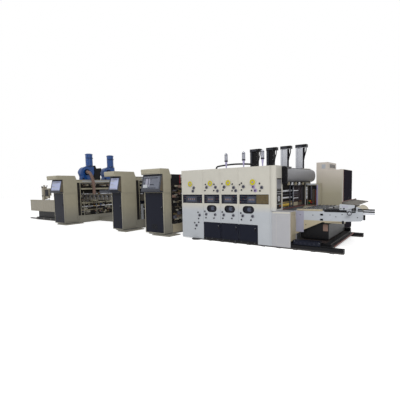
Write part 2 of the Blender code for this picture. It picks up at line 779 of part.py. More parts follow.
def feed_carriage():
    """The black carriage whose wheels stand on the rails, with its drive box and kerb."""
    wheel_z = RAIL_HEIGHT + SEAT + WHEEL_RADIUS
    foot = CARRIAGE_TOP - CARRIAGE_THICK
    pieces = [box((CARRIAGE_LEFT, CARRIAGE_RIGHT), (-CARRIAGE_EDGE, CARRIAGE_EDGE), (foot, CARRIAGE_TOP)),
              box((CARRIAGE_RIGHT - STEP_WIDTH, CARRIAGE_RIGHT + STEP_WIDTH), (-CARRIAGE_EDGE, CARRIAGE_EDGE),
                  (foot, foot + STEP_HEIGHT)),
              box((KERB_LEFT, CARRIAGE_RIGHT), (CARRIAGE_EDGE - KERB_WIDTH, CARRIAGE_EDGE),
                  (foot, CARRIAGE_TOP + KERB_HEIGHT))]
    shoe = (RAIL_HEIGHT + RUN, RAIL_HEIGHT + RUN + SHOE_THICK)
    edge = CARRIAGE_EDGE + SHOE_REACH
    side = (-edge, -CARRIAGE_EDGE + SEAM)
    pieces.append(box((CARRIAGE_LEFT + RUN, CARRIAGE_RIGHT + STEP_WIDTH), side, shoe))
    left, right, top = DRIVE_BOX
    pieces.append(box((left, right), side, (shoe[0], top)))
    inner = RAIL_OUTER - RAIL_WIDTH
    for sign in (-1, 1):
        low, high = sorted((sign * (CARRIAGE_EDGE - RAIL_WIDTH / 3), sign * (inner + RAIL_WIDTH * 0.6)))
        for x in (CARRIAGE_LEFT + WHEEL_INSET, CARRIAGE_RIGHT - WHEEL_INSET):
            pieces.append(rod("Y", (x, wheel_z), WHEEL_RADIUS, low, high, 16))
    return node("feed_carriage", "black", pieces)


def feed_box():
    """The cream cabinet at the operator's side of the feed unit."""
    shell = box((FEED_BOX_LEFT, FEED_BOX_RIGHT), (-SIDE_FACE, -FEED_BOX_BACK),
                (CARRIAGE_TOP + SEAT, FEED_BOX_TOP))
    front = box((FEED_BOX_LEFT, FEED_BOX_RIGHT), (-SIDE_FACE, -RAIL_OUTER - RUN),
                (SKIRT_FOOT, CARRIAGE_TOP + FRONT_LAP))
    return node("feed_box", "cream", [shell, front])


def feed_far_frame():
    """The taller frame at the drive side of the feed unit, open in a tall window."""
    foot = CARRIAGE_TOP + SEAT
    inner = BLOCK_RIGHT + RUN
    outline = [(FEED_BOX_LEFT, foot), (FEED_BOX_RIGHT, foot), (FEED_BOX_RIGHT, FAR_FRAME_TOP),
               (inner, FAR_FRAME_TOP), (inner, FEED_BOX_TOP), (FEED_BOX_LEFT, FEED_BOX_TOP)]
    body = prism(outline, "Y", FEED_BOX_BACK, CARRIAGE_EDGE)
    upper = box((inner, FEED_BOX_RIGHT), (FEED_BOX_BACK, FAR_FRAME_BACK), (FAR_WINDOW[0], FAR_FRAME_TOP))
    low, high = FRAME_Y + RUN, CARRIAGE_EDGE - RUN
    leg = prism([(FEED_BOX_RIGHT - RUN, foot), (FAR_FOOT_RIGHT, foot), (FAR_FOOT_RIGHT, FAR_FOOT_TOP),
                 (FEED_BOX_RIGHT - RUN, FAR_FOOT_TOP + SEAM)], "Y", low, high)
    margin = FAR_WINDOW_MARGIN
    window = box((inner + margin, FEED_BOX_RIGHT - margin),
                 (FEED_BOX_BACK - FAR_WINDOW_DEPTH, FEED_BOX_BACK + FAR_WINDOW_DEPTH), FAR_WINDOW)
    node("feed_far_frame", "cream", [body, upper, leg], [window])


def plate_outline(left, right):
    """A tapered side plate, seen from its side, from the feed box to its right end."""
    run = FRAME_KNEE_X - left
    toe = [(left + run * share, FRAME_FOOT + rise) for share, rise in FRAME_TOE]
    end = [(right - FRAME_CUT, FRAME_END), (right, FRAME_END + FRAME_CUT), (right, TABLE_TOP)]
    return [(left, FRAME_FOOT)] + toe + [(FRAME_KNEE_X, FRAME_KNEE)] + end + [(left, TABLE_TOP)]


def infeed_frame():
    """Two tapered side plates with slots, the deck between them, ties and an end cover."""
    left = FEED_BOX_RIGHT + SEAT
    inner = FRAME_Y - FRAME_THICK
    reach = FRAME_Y - FRAME_THICK / 2
    under = TABLE_TOP - TABLE_THICK
    bar = TIE_BAR
    deck = [(left, -reach), (DECK_RIGHT, -reach), (DECK_RIGHT, COVER_FAR), (FAR_PLATE_RIGHT, COVER_FAR),
            (FAR_PLATE_RIGHT, reach), (left, reach)]
    pieces = [prism(plate_outline(left, TABLE_RIGHT), "Y", -FRAME_Y, -inner),
              prism(plate_outline(left, FAR_PLATE_RIGHT), "Y", inner, FRAME_Y),
              prism(deck, "Z", under, TABLE_TOP)]
    for x in (left + bar * 2, FAR_PLATE_RIGHT - bar * 2):
        pieces.append(box((x - bar, x + bar), (-reach, reach), (under - bar * 3, under + bar / 2)))
    corner = (DECK_RIGHT - bar / 2, COVER_FOOT)
    cover = arc(corner, COVER_RADIUS, 0, 90, 8) + [corner]
    pieces.append(prism(cover, "Y", -reach, COVER_FAR))
    y = -reach
    for z in END_BAR_ZS:
        pieces.append(box((DECK_RIGHT, TABLE_RIGHT + END_BAR_REACH), (y - bar / 2, y + bar / 2), (z, z + bar)))
    box_left, box_right, box_foot, box_top = UNDER_BOX
    pieces.append(box((box_left, box_right), (y, -FRAME_Y + FRAME_THICK * 4), (box_foot, box_top)))
    width, height = SLOT_SIZE
    through = (-FRAME_Y - RUN, -FRAME_Y + FRAME_THICK + RUN)
    cuts = []
    for z in SLOT_ZS:
        cuts.append(box((SLOT_X - width / 2, SLOT_X + width / 2), through, (z - height / 2, z + height / 2)))
    return node("infeed_frame", "grey", pieces, cuts)


def infeed_table():
    """The tilted loading plate with a turned-up back lip, on two legs from the deck."""
    slope = (LOADER_FRONT - LOADER_BACK) / (LOADER_RIGHT - LOADER_LEFT)
    plate = [(LOADER_LEFT, LOADER_BACK - LOADER_THICK), (LOADER_RIGHT, LOADER_FRONT - LOADER_THICK),
             (LOADER_RIGHT, LOADER_FRONT), (LOADER_LEFT + LOADER_THICK, LOADER_BACK),
             (LOADER_LEFT + LOADER_THICK, LOADER_BACK + LOADER_LIP), (LOADER_LEFT, LOADER_BACK + LOADER_LIP)]
    pieces = [prism(plate, "Y", -LOADER_EDGE, LOADER_EDGE)]
    near, far = LOADER_LEFT + LOADER_THICK, FAR_PLATE_RIGHT - TIE_BAR
    deck = TABLE_TOP + SEAT
    middle = LOADER_BACK - LOADER_THICK / 2
    inner = far - LOADER_THICK
    leg = [(near, deck), (far, deck), (inner, middle + slope * (inner - LOADER_LEFT)),
           (near, middle + slope * (near - LOADER_LEFT))]
    for y in (-LOADER_LEG_Y, LOADER_LEG_Y):
        pieces.append(prism(leg, "Y", y - LOADER_THICK, y + LOADER_THICK))
    node("loading_table", "grey", pieces)


def guide_rail():
    """Two slide bars along the table's near side, joined by cross bars, with a clamp knob."""
    left, right = RAIL_BARS
    foot = TABLE_TOP + SEAT
    half = RAIL_BAR_WIDTH / 2
    pieces = []
    ends = (right, right - (right - left) / 3)
    for y, end in zip(RAIL_BAR_YS, ends):
        pieces.append(box((left, end), (y - half, y + half), (foot, foot + RAIL_BAR_HEIGHT)))
    for x in (left + RAIL_BAR_WIDTH, ends[1] - RAIL_BAR_WIDTH):
        pieces.append(box((x - half, x + half), RAIL_BAR_YS, (foot, foot + RAIL_BAR_HEIGHT / 2)))
    knob_x = (left + ends[1]) / 2
    top = foot + RAIL_BAR_HEIGHT
    knob = [(top - SEAM, half * 0.4), (top + half, half * 0.4), (top + half, half * 1.3),
            (top + half * 2.2, half * 1.1)]
    pieces.append(turned("Z", (knob_x, RAIL_BAR_YS[1]), knob, 12))
    node("guide_rail", "black", pieces)


def side_guide():
    """The silver guide that squares the stack, on the near side plate's top edge."""
    rise = GUIDE_TOP - GUIDE_FOOT
    low = TABLE_TOP + SEAT
    y = -FRAME_Y - SEAT
    blade = [(GUIDE_LEFT, GUIDE_FOOT), (GUIDE_LEFT + rise, GUIDE_FOOT),
             (GUIDE_RIGHT, GUIDE_FOOT + rise * 0.45), (GUIDE_RIGHT, GUIDE_TOP - rise * 0.15),
             (GUIDE_LEFT, GUIDE_TOP)]
    arm = box((RAIL_BARS[1] + RUN, GUIDE_RIGHT - rise * 0.5), (y - GUIDE_THICK / 2, -FRAME_Y + FRAME_THICK),
              (low, GUIDE_TOP - rise / 2))
    node("side_guide", "steel", [prism(blade, "Y", y - GUIDE_THICK, y), arm])


def handwheel():
    """The wheel on the near side plate: rim, hub and three spokes on a shaft."""
    x, z = HANDWHEEL_X, HANDWHEEL_Z
    front = -FRAME_Y - SEAT
    plane = front - GUIDE_THICK - SHAFT_LENGTH
    hub = [(front, SHAFT_RADIUS), (plane + HANDWHEEL_RIM, SHAFT_RADIUS),
           (plane + HANDWHEEL_RIM, SHAFT_RADIUS * 1.6), (plane - HANDWHEEL_RIM, SHAFT_RADIUS * 1.4)]
    reach = HANDWHEEL_RADIUS - HANDWHEEL_RIM
    pieces = [torus((x, plane, z), reach, HANDWHEEL_RIM), turned("Y", (x, z), hub, 14)]
    for turn in (90, 210, 330):
        angle = math.radians(turn)
        side = (math.sin(angle) * HANDWHEEL_RIM / 2, -math.cos(angle) * HANDWHEEL_RIM / 2)
        tip = (x + reach * math.cos(angle), z + reach * math.sin(angle))
        spoke = [(x - side[0], z - side[1]), (x + side[0], z + side[1]),
                 (tip[0] + side[0], tip[1] + side[1]), (tip[0] - side[0], tip[1] - side[1])]
        pieces.append(prism(spoke, "Y", plane - HANDWHEEL_RIM / 2, plane + HANDWHEEL_RIM / 2))
    round_shade(centre_on(node("handwheel", "steel", pieces), (x, front, z)))


def drive_cabinet():
    """The tall switch cabinet behind the far rail, with a top box and a duct to the housing."""
    inset = PLINTH_INSET
    plinth = box((CABINET_LEFT + inset, CABINET_RIGHT - inset),
                 (CABINET_NEAR + inset, CABINET_FAR - inset), (0, CABINET_PLINTH + SEAM))
    body = box((CABINET_LEFT + SEAM, CABINET_RIGHT - SEAM), (CABINET_NEAR, CABINET_FAR - SEAM),
               (CABINET_PLINTH, CABINET_TOP - SEAM))
    roof = box((CABINET_LEFT, CABINET_RIGHT), (CABINET_NEAR, CABINET_FAR),
               (CABINET_TOP - ROOF_THICK, CABINET_TOP))
    upper = box((CABINET_LEFT + SEAM, CABINET_LEFT + TOP_BOX_WIDTH), (CABINET_NEAR, TOP_BOX_FAR),
                (CABINET_TOP - SEAM, TOP_BOX_TOP))
    lap, depth, duct_foot, duct_top = CABLE_DUCT
    duct = box((BLOCK_RIGHT - lap, CABINET_LEFT + SEAM * 2), (SIDE_FACE + SEAT, CABINET_NEAR + depth),
               (duct_foot, duct_top))
    foot, top = CABINET_PLINTH + ROOF_THICK, CABINET_TOP - ROOF_THICK * 2
    middle = (CABINET_NEAR + CABINET_FAR) / 2
    cuts = []
    for y in (CABINET_NEAR + ROOF_THICK, middle, CABINET_FAR - ROOF_THICK):
        cuts.append(box((CABINET_RIGHT - SEAM * 2, CABINET_RIGHT), (y - SEAM / 2, y + SEAM / 2), (foot, top)))
    node("drive_cabinet", "cream", [plinth, body, roof, upper, duct], cuts)


def portal(key):
    """A folding module: a frame with cross shafts, pulleys and rests for the folding arms."""
    left, right, near, _ = MODULES[key]
    back = -near + SEAT
    frame = box((left, right), (back, PORTAL_FAR), (0, PORTAL_TOP))
    window = box((left - RUN, right + RUN), (back + POST_WIDTH, PORTAL_FAR - POST_WIDTH),
                 (PORTAL_SILL, PORTAL_TOP - PORTAL_BEAM))
    toe = CONSOLE_FACE - CONSOLE_FOOT
    lap = back + CONSOLE_FOOT
    pieces = [node("cut_frame", "cream", [frame], [window]),
              box((left + SHAFT_INSET, right - SHAFT_INSET), (-toe, lap), (0, CONSOLE_FOOT - SEAT)),
              box((left + SHAFT_INSET * 4, right + SHAFT_INSET * 3), (-CONSOLE_FACE - PLATE_REACH, lap),
                  (0, PLATE_THICK))]
    ends = (left + SHAFT_INSET, right - SHAFT_INSET)
    inner = (back + POST_WIDTH / 2, PORTAL_FAR - POST_WIDTH / 2)
    rest = ARM_CENTRE - ARM_HEIGHT / 2 - SEAT
    pulley_height = CROSS_SHAFTS[2][0]
    for x in ends:
        pieces.append(box((x - REST_HEIGHT / 4, x + REST_HEIGHT / 4), inner, (rest - REST_HEIGHT, rest)))
        for z, radius in CROSS_SHAFTS:
            pieces.append(rod("Y", (x, z), radius, inner[0], inner[1], 12))
    half = PULLEY_WIDTH / 2
    for y in PULLEY_YS:
        pieces.append(rod("Y", (ends[1], pulley_height), PULLEY_RADIUS, y - half, y + half, 14))
    if key == "1":
        half = NOZZLE_SIZE / 2
        x = right + FAN_HOSE_OUT
        pieces.append(box((ends[1], x + half), (NOZZLE_Y - half, NOZZLE_Y + half),
                          (rest - REST_HEIGHT, NOZZLE_TOP - SEAT)))
    node(f"folding_module_{key}", "cream", pieces)


def console(key):
    """The console's housing: a hollow cupboard under a canopied head."""
    left, right, near, reach = MODULES[key]
    face = -CONSOLE_FACE
    head = CONSOLE_TOP - CANOPY_DEPTH
    bend = CANOPY_ROUND
    outline = [(face, CONSOLE_FOOT), (face, head), (face - reach + bend / 2, head)]
    outline += arc((face - reach + bend, CONSOLE_TOP - bend), bend, 180, 90, 5)
    outline += [(-near - bend * 2, CONSOLE_TOP), (-near, CONSOLE_TOP - CANOPY_DEPTH), (-near, CONSOLE_FOOT)]
    shell = prism(outline, "X", left, right)
    recess = box((left + CONSOLE_WALL, right - CONSOLE_WALL), (face - RECESS, face + RECESS),
                 (CONSOLE_DOOR_FOOT, CONSOLE_DOOR_TOP))
    wall = CONSOLE_WALL * 2
    cavity = box((left + wall, right - wall), (face - RECESS, -near - wall),
                 (CONSOLE_DOOR_FOOT + CONSOLE_WALL, CONSOLE_DOOR_TOP - CONSOLE_WALL))
    hinge = left + CONSOLE_WALL
    sockets = [pin_socket(hinge, CONSOLE_FACE, CONSOLE_DOOR_TOP - RUN, CONSOLE_DOOR_TOP + PIN_REACH),
               pin_socket(hinge, CONSOLE_FACE, CONSOLE_DOOR_FOOT - PIN_REACH, CONSOLE_DOOR_FOOT + RUN)]
    node(f"console_{key}_housing", "cream", [shell], [recess, cavity] + sockets)
    hinged_door(f"console_{key}_door", hinge, right - CONSOLE_WALL, CONSOLE_FACE,
                CONSOLE_DOOR_FOOT, CONSOLE_DOOR_TOP)


def monitor(key):
    """The sloping screen box under the canopy; the second console also has a shelf."""
    left, right, _, _ = MODULES[key]
    face = -CONSOLE_FACE - SEAT
    top = CONSOLE_TOP - CANOPY_DEPTH - SEAT
    foot = CONSOLE_DOOR_TOP + SCREEN_MARGIN * 0.4
    low = Vector((face - SCREEN_LIP, SCREEN_FOOT))
    high = Vector((face - CONSOLE_WALL, top))
    outline = [(face, foot), (face - SCREEN_LIP, foot + SCREEN_MARGIN * 0.4), tuple(low), tuple(high),
               (face, top)]
    pieces = [prism(outline, "X", left, right)]
    along = (high - low).normalized()
    out = Vector((-along.y, along.x))
    start, end = low + along * SCREEN_MARGIN, high - along * SCREEN_MARGIN
    deep = out * SCREEN_DEPTH
    corners = [tuple(corner) for corner in (start + deep, end + deep, end - deep, start - deep)]
    recess = prism(corners, "X", left + SCREEN_MARGIN, right - SCREEN_MARGIN)
    if key == "2":
        front = face - SHELF_REACH
        bend = SHELF_ROUND
        plan = [(left, face)] + arc((left + bend, front + bend), bend, 180, 270, 5)
        plan += arc((right - bend, front + bend), bend, 270, 360, 5) + [(right, face)]
        pieces.append(prism(plan, "Z", foot, foot + SHELF_HEIGHT))
    node(f"console_{key}_monitor", "grey", pieces, [recess])


def folding_arms():
    """Two long beams of I section that carry the folding belts through the modules."""
    left = MODULES["1"][0]
    top, foot = ARM_CENTRE + ARM_HEIGHT / 2, ARM_CENTRE - ARM_HEIGHT / 2
    half, web = ARM_WIDTH / 2, ARM_WEB / 2
    for name, y in (("near", -ARM_Y), ("far", ARM_Y)):
        section = [(y - half, foot), (y + half, foot), (y + half, foot + ARM_FLANGE),
                   (y + web, foot + ARM_FLANGE), (y + web, top - ARM_FLANGE), (y + half, top - ARM_FLANGE),
                   (y + half, top), (y - half, top), (y - half, top - ARM_FLANGE),
                   (y - web, top - ARM_FLANGE), (y - web, foot + ARM_FLANGE), (y - half, foot + ARM_FLANGE)]
        node(f"folding_arm_{name}", "steel", [prism(section, "X", left, BLOCK_LEFT - SEAT)])


def outlet_tie():
    """The beam across the block's left end, which the folding arms start from."""
    end = SIDE_BACK - SEAT
    node("outlet_tie", "black", [box((BLOCK_LEFT, BLOCK_LEFT + OUTLET_TIE), (-end, end),
                                     (ARM_CENTRE - ARM_HEIGHT / 2, ARM_CENTRE + ARM_HEIGHT / 2))])


def base_sill():
    """The long floor sill between the first and second modules."""
    node("base_sill", "cream", [box((MODULES["1"][1] + SEAT, MODULES["2"][0] - SEAT),
                                    (SILL_Y - SILL_WIDTH / 2, SILL_Y + SILL_WIDTH / 2), (0, SILL_HEIGHT))])


def fans():
    """Scroll fans with an upright outlet, a round flange, an inlet eye and a motor."""
    foot = PORTAL_TOP + SEAT
    right = MODULES["1"][1] - FAN_INSET
    left = right - FAN_WIDTH
    for i, y in enumerate(FAN_YS):
        centre = (y, foot + FAN_CENTRE)
        scroll = []
        turns = 24
        for k in range(turns + 1):
            radius = FAN_INNER + (FAN_OUTER - FAN_INNER) * k / turns
            bend = math.radians(90 + 270 * k / turns)
            scroll.append((centre[0] + radius * math.cos(bend), centre[1] + radius * math.sin(bend)))
        scroll.append((y + FAN_OUTER, centre[1] + FAN_INNER + FAN_FLANGE))
        scroll.append((y, centre[1] + FAN_INNER + FAN_FLANGE))
        pedestal = box((left, right), (y - FAN_INNER, y + FAN_INNER), (foot, foot + FAN_CENTRE))
        pipe_y = y + FAN_OUTER - FAN_PIPE_RADIUS
        x = right - FAN_WIDTH / 2
        pipe, rim, step = FAN_PIPE_RADIUS, FAN_PIPE_RADIUS + FAN_FLANGE, FAN_FLANGE * 1.5
        base = centre[1] + FAN_INNER
        stations = [(base - step, pipe * 0.7), (base + step, pipe * 0.74), (base + step, rim),
                    (base + step * 2, rim), (base + step * 2, pipe), (FAN_TOP - step * 2, pipe),
                    (FAN_TOP - step * 2, rim), (FAN_TOP - step, rim), (FAN_TOP, pipe * 0.8)]
        outlet = turned("Z", (x, pipe_y), stations, 18)
        eye = rod("X", centre, FAN_EYE, right - FAN_FLANGE, right + FAN_FLANGE, 18)
        motor = turned("X", centre, [(left - FAN_MOTOR_LENGTH, FAN_MOTOR_RADIUS * 0.8),
                                     (left - FAN_MOTOR_LENGTH + step, FAN_MOTOR_RADIUS),
                                     (left + FAN_FLANGE, FAN_MOTOR_RADIUS)], 18)
        pieces = [prism(scroll, "X", left, right), pedestal, outlet, eye, motor]
        round_shade(node(f"suction_fan_{i + 1}", "blue", pieces))


def fan_stand():
    """The dark motor stand between the two fans."""
    foot = PORTAL_TOP + SEAT
    right = MODULES["1"][1] - FAN_INSET
    near, far = STAND_YS
    knob = FAN_FLANGE * 3
    top = foot + STAND_TOP
    outline = [(near, foot), (far - knob, foot), (far - knob, foot + STAND_TOP * 0.5),
               (far, foot + STAND_TOP * 0.62)]
    outline += arc((far - knob / 2, foot + STAND_TOP * 0.76), knob, 0, 120, 5)
    outline += [(near + knob * 2, foot + STAND_TOP * 0.8), (near + knob, top), (near, top)]
    node("fan_stand", "black", [prism(outline, "X", right - FAN_WIDTH, right)])


def fan_hose():
    """The flexible hose from the first fan's eye down to the suction nozzle."""
    start_x = MODULES["1"][1] - FAN_INSET + FAN_FLANGE + SEAT
    end_x = MODULES["1"][1] + FAN_HOSE_OUT
    y = FAN_YS[0]
    z = PORTAL_TOP + SEAT + FAN_CENTRE
    drop = FAN_HOSE_RADIUS * 2
    points = [(start_x, y, z), (start_x + drop / 2, y, z), (end_x, y + drop * 0.1, z - drop * 0.3),
              (end_x + drop * 0.4, y + drop * 0.5, z - drop * 1.4),
              (end_x + drop * 0.3, y + drop, z - drop * 3),
              (end_x, NOZZLE_Y, NOZZLE_TOP + drop * 2), (end_x, NOZZLE_Y, NOZZLE_TOP + drop / 2),
              (end_x, NOZZLE_Y, NOZZLE_TOP)]
    round_shade(node("fan_hose", "rubber", [tube(points, FAN_HOSE_RADIUS, 12, 4)]))


def ejector():
    """The delivery table: rails, base, a deep tray with a roller bed, and its drive head."""
    near = -EJECTOR_NEAR
    wall = EJECTOR_WALL
    tray_foot, tray_top = EJECTOR_BOX
    inset = wall * 2
    base_left, base_right = EJECTOR_LEFT + inset * 4, EJECTOR_RIGHT
    pieces = [box((base_left, base_right), (near + inset, EJECTOR_NEAR - inset), (0.0, inset * 1.5)),
              box((base_left + inset, base_right - inset), (near + inset * 2, EJECTOR_NEAR - inset * 2),
                  (inset, tray_foot - SEAT))]
    for y in (near + inset * 2, EJECTOR_NEAR - inset):
        pieces.append(box((EJECTOR_RAIL_LEFT, MODULES["1"][0] - SEAT), (y, y + inset),
                          (0.0, EJECTOR_RAIL_HEIGHT)))
    node("ejector_base", "black", pieces)
    bed = tray_foot + EJECTOR_BED
    tray = box((EJECTOR_LEFT, EJECTOR_RIGHT), (near, EJECTOR_NEAR), (tray_foot, tray_top))
    channel = box((EJECTOR_LEFT - RUN, EJECTOR_RIGHT + RUN), (near + wall, EJECTOR_NEAR - wall),
                  (bed, tray_top + RUN))
    pieces = [node("cut_tray", "grey", [tray], [channel])]
    step = (EJECTOR_RIGHT - EJECTOR_LEFT) / EJECTOR_ROLLS
    for i in range(EJECTOR_ROLLS):
        x = EJECTOR_LEFT + step * (i + 0.5)
        pieces.append(rod("Y", (x, bed + EJECTOR_ROLL), EJECTOR_ROLL * 1.2, near + wall / 2,
                          EJECTOR_NEAR - wall / 2, 12))
    node("ejector_tray", "grey", pieces)
    foot = tray_top + SEAT
    left, right = EJECTOR_POST
    post = box((left, right), (near, near + wall * 4), (foot, EJECTOR_HEAD_TOP))
    head_left, head_right = EJECTOR_HEAD
    low = foot + EJECTOR_ROLL * 2
    head = box((right - wall, head_right), (near + wall, near + wall * 3.5),
               (low + inset * 1.5, EJECTOR_HEAD_TOP - inset))
    skirt = box((head_left, head_right - inset), (near + wall * 1.5, near + wall * 3), (low, low + inset * 2))
    pieces = [post, head, skirt]
    for share in (0.3, 0.7):
        x = left + (right - left) * share
        knob = [(EJECTOR_HEAD_TOP - wall, wall * 0.4), (EJECTOR_HEAD_TOP + wall, wall * 0.4),
                (EJECTOR_HEAD_TOP + wall, wall * 0.7), (EJECTOR_HEAD_TOP + wall * 1.6, wall * 0.5)]
        pieces.append(turned("Z", (x, near + wall * 2), knob, 12))
    node("ejector_head", "black", pieces)


def build():
    clear_scene()
    floor_rails()
    near_housing()
    far_housing()
    kick_plate()
    access_doors()
    print_rolls()
    top_frame()
    lift_columns()
    signal_lamps()
    top_hose()
    cross_beam()
    beam_bracket()
    feed_rolls()
    feed_brush()
    feed_guard()
    feed_carriage()
    feed_box()
    feed_far_frame()
    infeed_frame()
    infeed_table()
    guide_rail()
    side_guide()
    handwheel()
    drive_cabinet()
    for key in MODULES:
        portal(key)
        console(key)
        monitor(key)
    folding_arms()
    outlet_tie()
    base_sill()
    fans()
    fan_stand()
    fan_hose()
    ejector()


build()
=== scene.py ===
"""The looks of a flexo folder gluer: finishes, panels, knobs, screens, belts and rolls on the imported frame."""

import math
import random
from collections import namedtuple

import bmesh
import bpy
from bpy.props import FloatProperty, FloatVectorProperty, IntProperty, PointerProperty
from bpy.types import Operator, Panel, PropertyGroup
from mathutils import Matrix, Vector


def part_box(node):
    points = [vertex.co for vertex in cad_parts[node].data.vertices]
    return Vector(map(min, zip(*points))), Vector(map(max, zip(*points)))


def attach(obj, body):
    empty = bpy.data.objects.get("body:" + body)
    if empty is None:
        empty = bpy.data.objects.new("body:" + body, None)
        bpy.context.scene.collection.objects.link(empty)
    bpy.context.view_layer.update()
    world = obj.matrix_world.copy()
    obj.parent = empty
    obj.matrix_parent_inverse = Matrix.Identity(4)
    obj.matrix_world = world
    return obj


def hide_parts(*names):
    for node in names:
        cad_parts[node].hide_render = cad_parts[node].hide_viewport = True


bl_info = {
    "name": "Flexo folder gluer looks",
    "version": (1, 0, 0),
    "blender": (4, 5, 0),
    "location": "3D View > Sidebar > Gluer",
    "description": "Dresses the packed frame of a flexo folder gluer",
    "category": "Object",
}

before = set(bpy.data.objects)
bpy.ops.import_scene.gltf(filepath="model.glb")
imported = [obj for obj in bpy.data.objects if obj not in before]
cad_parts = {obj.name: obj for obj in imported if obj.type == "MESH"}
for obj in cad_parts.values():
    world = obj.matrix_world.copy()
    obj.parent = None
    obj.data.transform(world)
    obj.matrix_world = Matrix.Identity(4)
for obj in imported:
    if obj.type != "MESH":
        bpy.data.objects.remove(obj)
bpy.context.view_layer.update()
STAND = 0.0005
BEVEL = 0.003


# Sizes and colours that a user may change

def colour(name, description, red, green, blue):
    return FloatVectorProperty(name=name, description=description, subtype="COLOR_GAMMA", size=3, min=0,
                               max=1,
                               default=(red / 255, green / 255, blue / 255))


def length(name, description, default, low=0.0, high=20.0):
    return FloatProperty(name=name, description=description, unit="LENGTH", subtype="DISTANCE",
                         default=default, min=low, max=high)


class GluerFinishes(PropertyGroup):
    cream: colour("Cream", "Upper panels of the housings", 193, 190, 180)
    cool: colour("Cool grey", "Lower panels of the housings", 177, 181, 186)
    shade: colour("Shaded cream", "Consoles and modules", 166, 160, 140)
    # Painted light: the lighter top of the drive cabinet.
    sunlit: colour("Lit cream", "Top of the drive cabinet", 200, 192, 182)
    # Painted shade: the darker lower part of the consoles and modules; also a plain darker cream for seams and
    # bars.
    dusk: colour("Shaded foot", "Lower half of the consoles", 140, 137, 126)
    navy: colour("Navy", "Doors and strips", 20, 23, 36)
    black: colour("Black", "Beams, rails and brackets", 18, 18, 21)
    slate: colour("Slate", "Side of the drive cabinet", 46, 43, 50)
    # Painted shade: a near-black for the insides of the modules and the mouth, and for dark sheets set where
    # those insides lie in shade.
    inner_shade: colour("Inner shade", "Dark insides of the modules and the mouth", 34, 32, 31)
    grey: colour("Grey", "Beam and guard", 122, 122, 126)
    pale: colour("Pale grey", "Side plates of the feed unit", 172, 176, 182)
    lilac: colour("Lilac grey", "Left end of the infeed plate", 150, 150, 166)
    beige: colour("Beige", "Sloped feed plates", 168, 158, 134)
    front: colour("Feed front", "Front of the feed box", 168, 168, 172)
    steel: colour("Steel", "Rolls and shafts", 184, 186, 192)
    # Near-white steel; on the feed rolls and the guard's bars its whiteness is partly a painted highlight.
    bright: colour("Bright steel", "Feed rolls and nozzles", 232, 234, 240)
    dull: colour("Dull steel", "Arms and worn rails", 92, 88, 82)
    deck: colour("Deck", "Worn deck of the carriage", 50, 43, 42)
    tray: colour("Tray", "Ejector tray", 156, 150, 136)
    blue: colour("Blue", "Suction fans", 0, 66, 134)
    rubber: colour("Rubber", "Hoses and leads", 20, 20, 22)
    duct: colour("Duct", "Flexible fan hose", 128, 104, 94)
    brush: colour("Bristles", "Brush row", 196, 166, 74)
    ring: colour("Dial ring", "Ring of the unit dials", 188, 178, 8)
    mauve: colour("Dial centre", "Centre of the unit dials", 150, 132, 176)
    knob: colour("Knob", "Round knobs", 34, 34, 42)
    cap: colour("Knob cap", "Caps of the wide knobs", 92, 92, 102)
    glass: colour("Oval glass", "Oval windows", 10, 13, 28)
    pane: colour("Guard pane", "Dark guard panes", 66, 60, 62)
    screen: colour("Bright screen", "Lit operator screens", 150, 158, 190)
    dim: colour("Dim screen", "Displays in the strips", 58, 65, 84)
    bezel: colour("Bezel", "Frames of displays", 58, 60, 68)
    lens: colour("Lens", "Lenses of the signal lamps", 200, 202, 214)
    stem: colour("Lamp stem", "Stems of the signal lamps", 160, 154, 186)
    red: colour("Red", "Stop buttons", 176, 34, 30)
    green: colour("Green", "Start buttons", 36, 130, 66)
    amber: colour("Amber", "Warning lights", 214, 128, 36)
    sill: colour("Sill", "Red-brown sill in the mouth", 116, 60, 52)
    olive: colour("Olive", "Stained part of a strip", 92, 80, 56)
    belt: colour("Belt", "Folding belts", 92, 84, 70)
    stripe: colour("Dark red", "Panel edge in the last module", 120, 22, 34)
    pad: colour("Pad", "Floor pads", 30, 30, 32)


class GluerPanels(PropertyGroup):
    knob: length("Knob radius", "Small knobs on the panels", 0.021)
    wide_knob: length("Wide knob radius", "Wide knobs on the panels", 0.044)
    depth: length("Knob depth", "How far a knob stands out", 0.022)
    rivet: length("Screw radius", "Screw heads on panels", 0.006)


class GluerRolls(PropertyGroup):
    belt: length("Belt width", "Folding belts on the arms", 0.09)
    belt_thick: length("Belt thickness", "Folding belts on the arms", 0.008)
    wheel: length("Belt wheel radius", "Wheels that carry the folding belts", 0.055)
    wheels: IntProperty(name="Belt wheels", description="Wheels on each folding arm", default=26, min=4,
                        max=60)
    bristles: IntProperty(name="Bristles", description="Tufts in the brush row", default=46, min=8, max=120)
    tray_rolls: IntProperty(name="Tray rollers", description="Rollers in the ejector", default=18, min=4,
                            max=40)


class GluerView(PropertyGroup):
    place: FloatVectorProperty(name="Camera place", description="Where the camera stands",
                               subtype="TRANSLATION",
                               unit="LENGTH", size=3, default=(4.675, -9.0205, 1.69))
    turn: FloatVectorProperty(name="Camera turn", description="Yaw, pitch and roll", subtype="EULER",
                              unit="ROTATION",
                              size=3, default=[math.radians(a) for a in (36.48, 4.32, -1.24)])
    focal: FloatProperty(name="Focal share", description="Focal length over the frame's width",
                         default=299.5 / 400)
    shift: FloatVectorProperty(name="Shift", description="Camera shift", size=2, default=(-0.006, 0.022))
    sky: FloatProperty(name="Sky light", description="Strength of the surrounding light", default=0.45)
    key: FloatProperty(name="Key light", description="Strength of the main lamp", default=1.35)
    fill: FloatProperty(name="Fill light", description="Strength of the side lamp", default=0.5)


def settings():
    return bpy.context.scene.gluer_finishes


def panels():
    return bpy.context.scene.gluer_panels


def rolls():
    return bpy.context.scene.gluer_rolls


def view():
    return bpy.context.scene.gluer_view


# Finishes

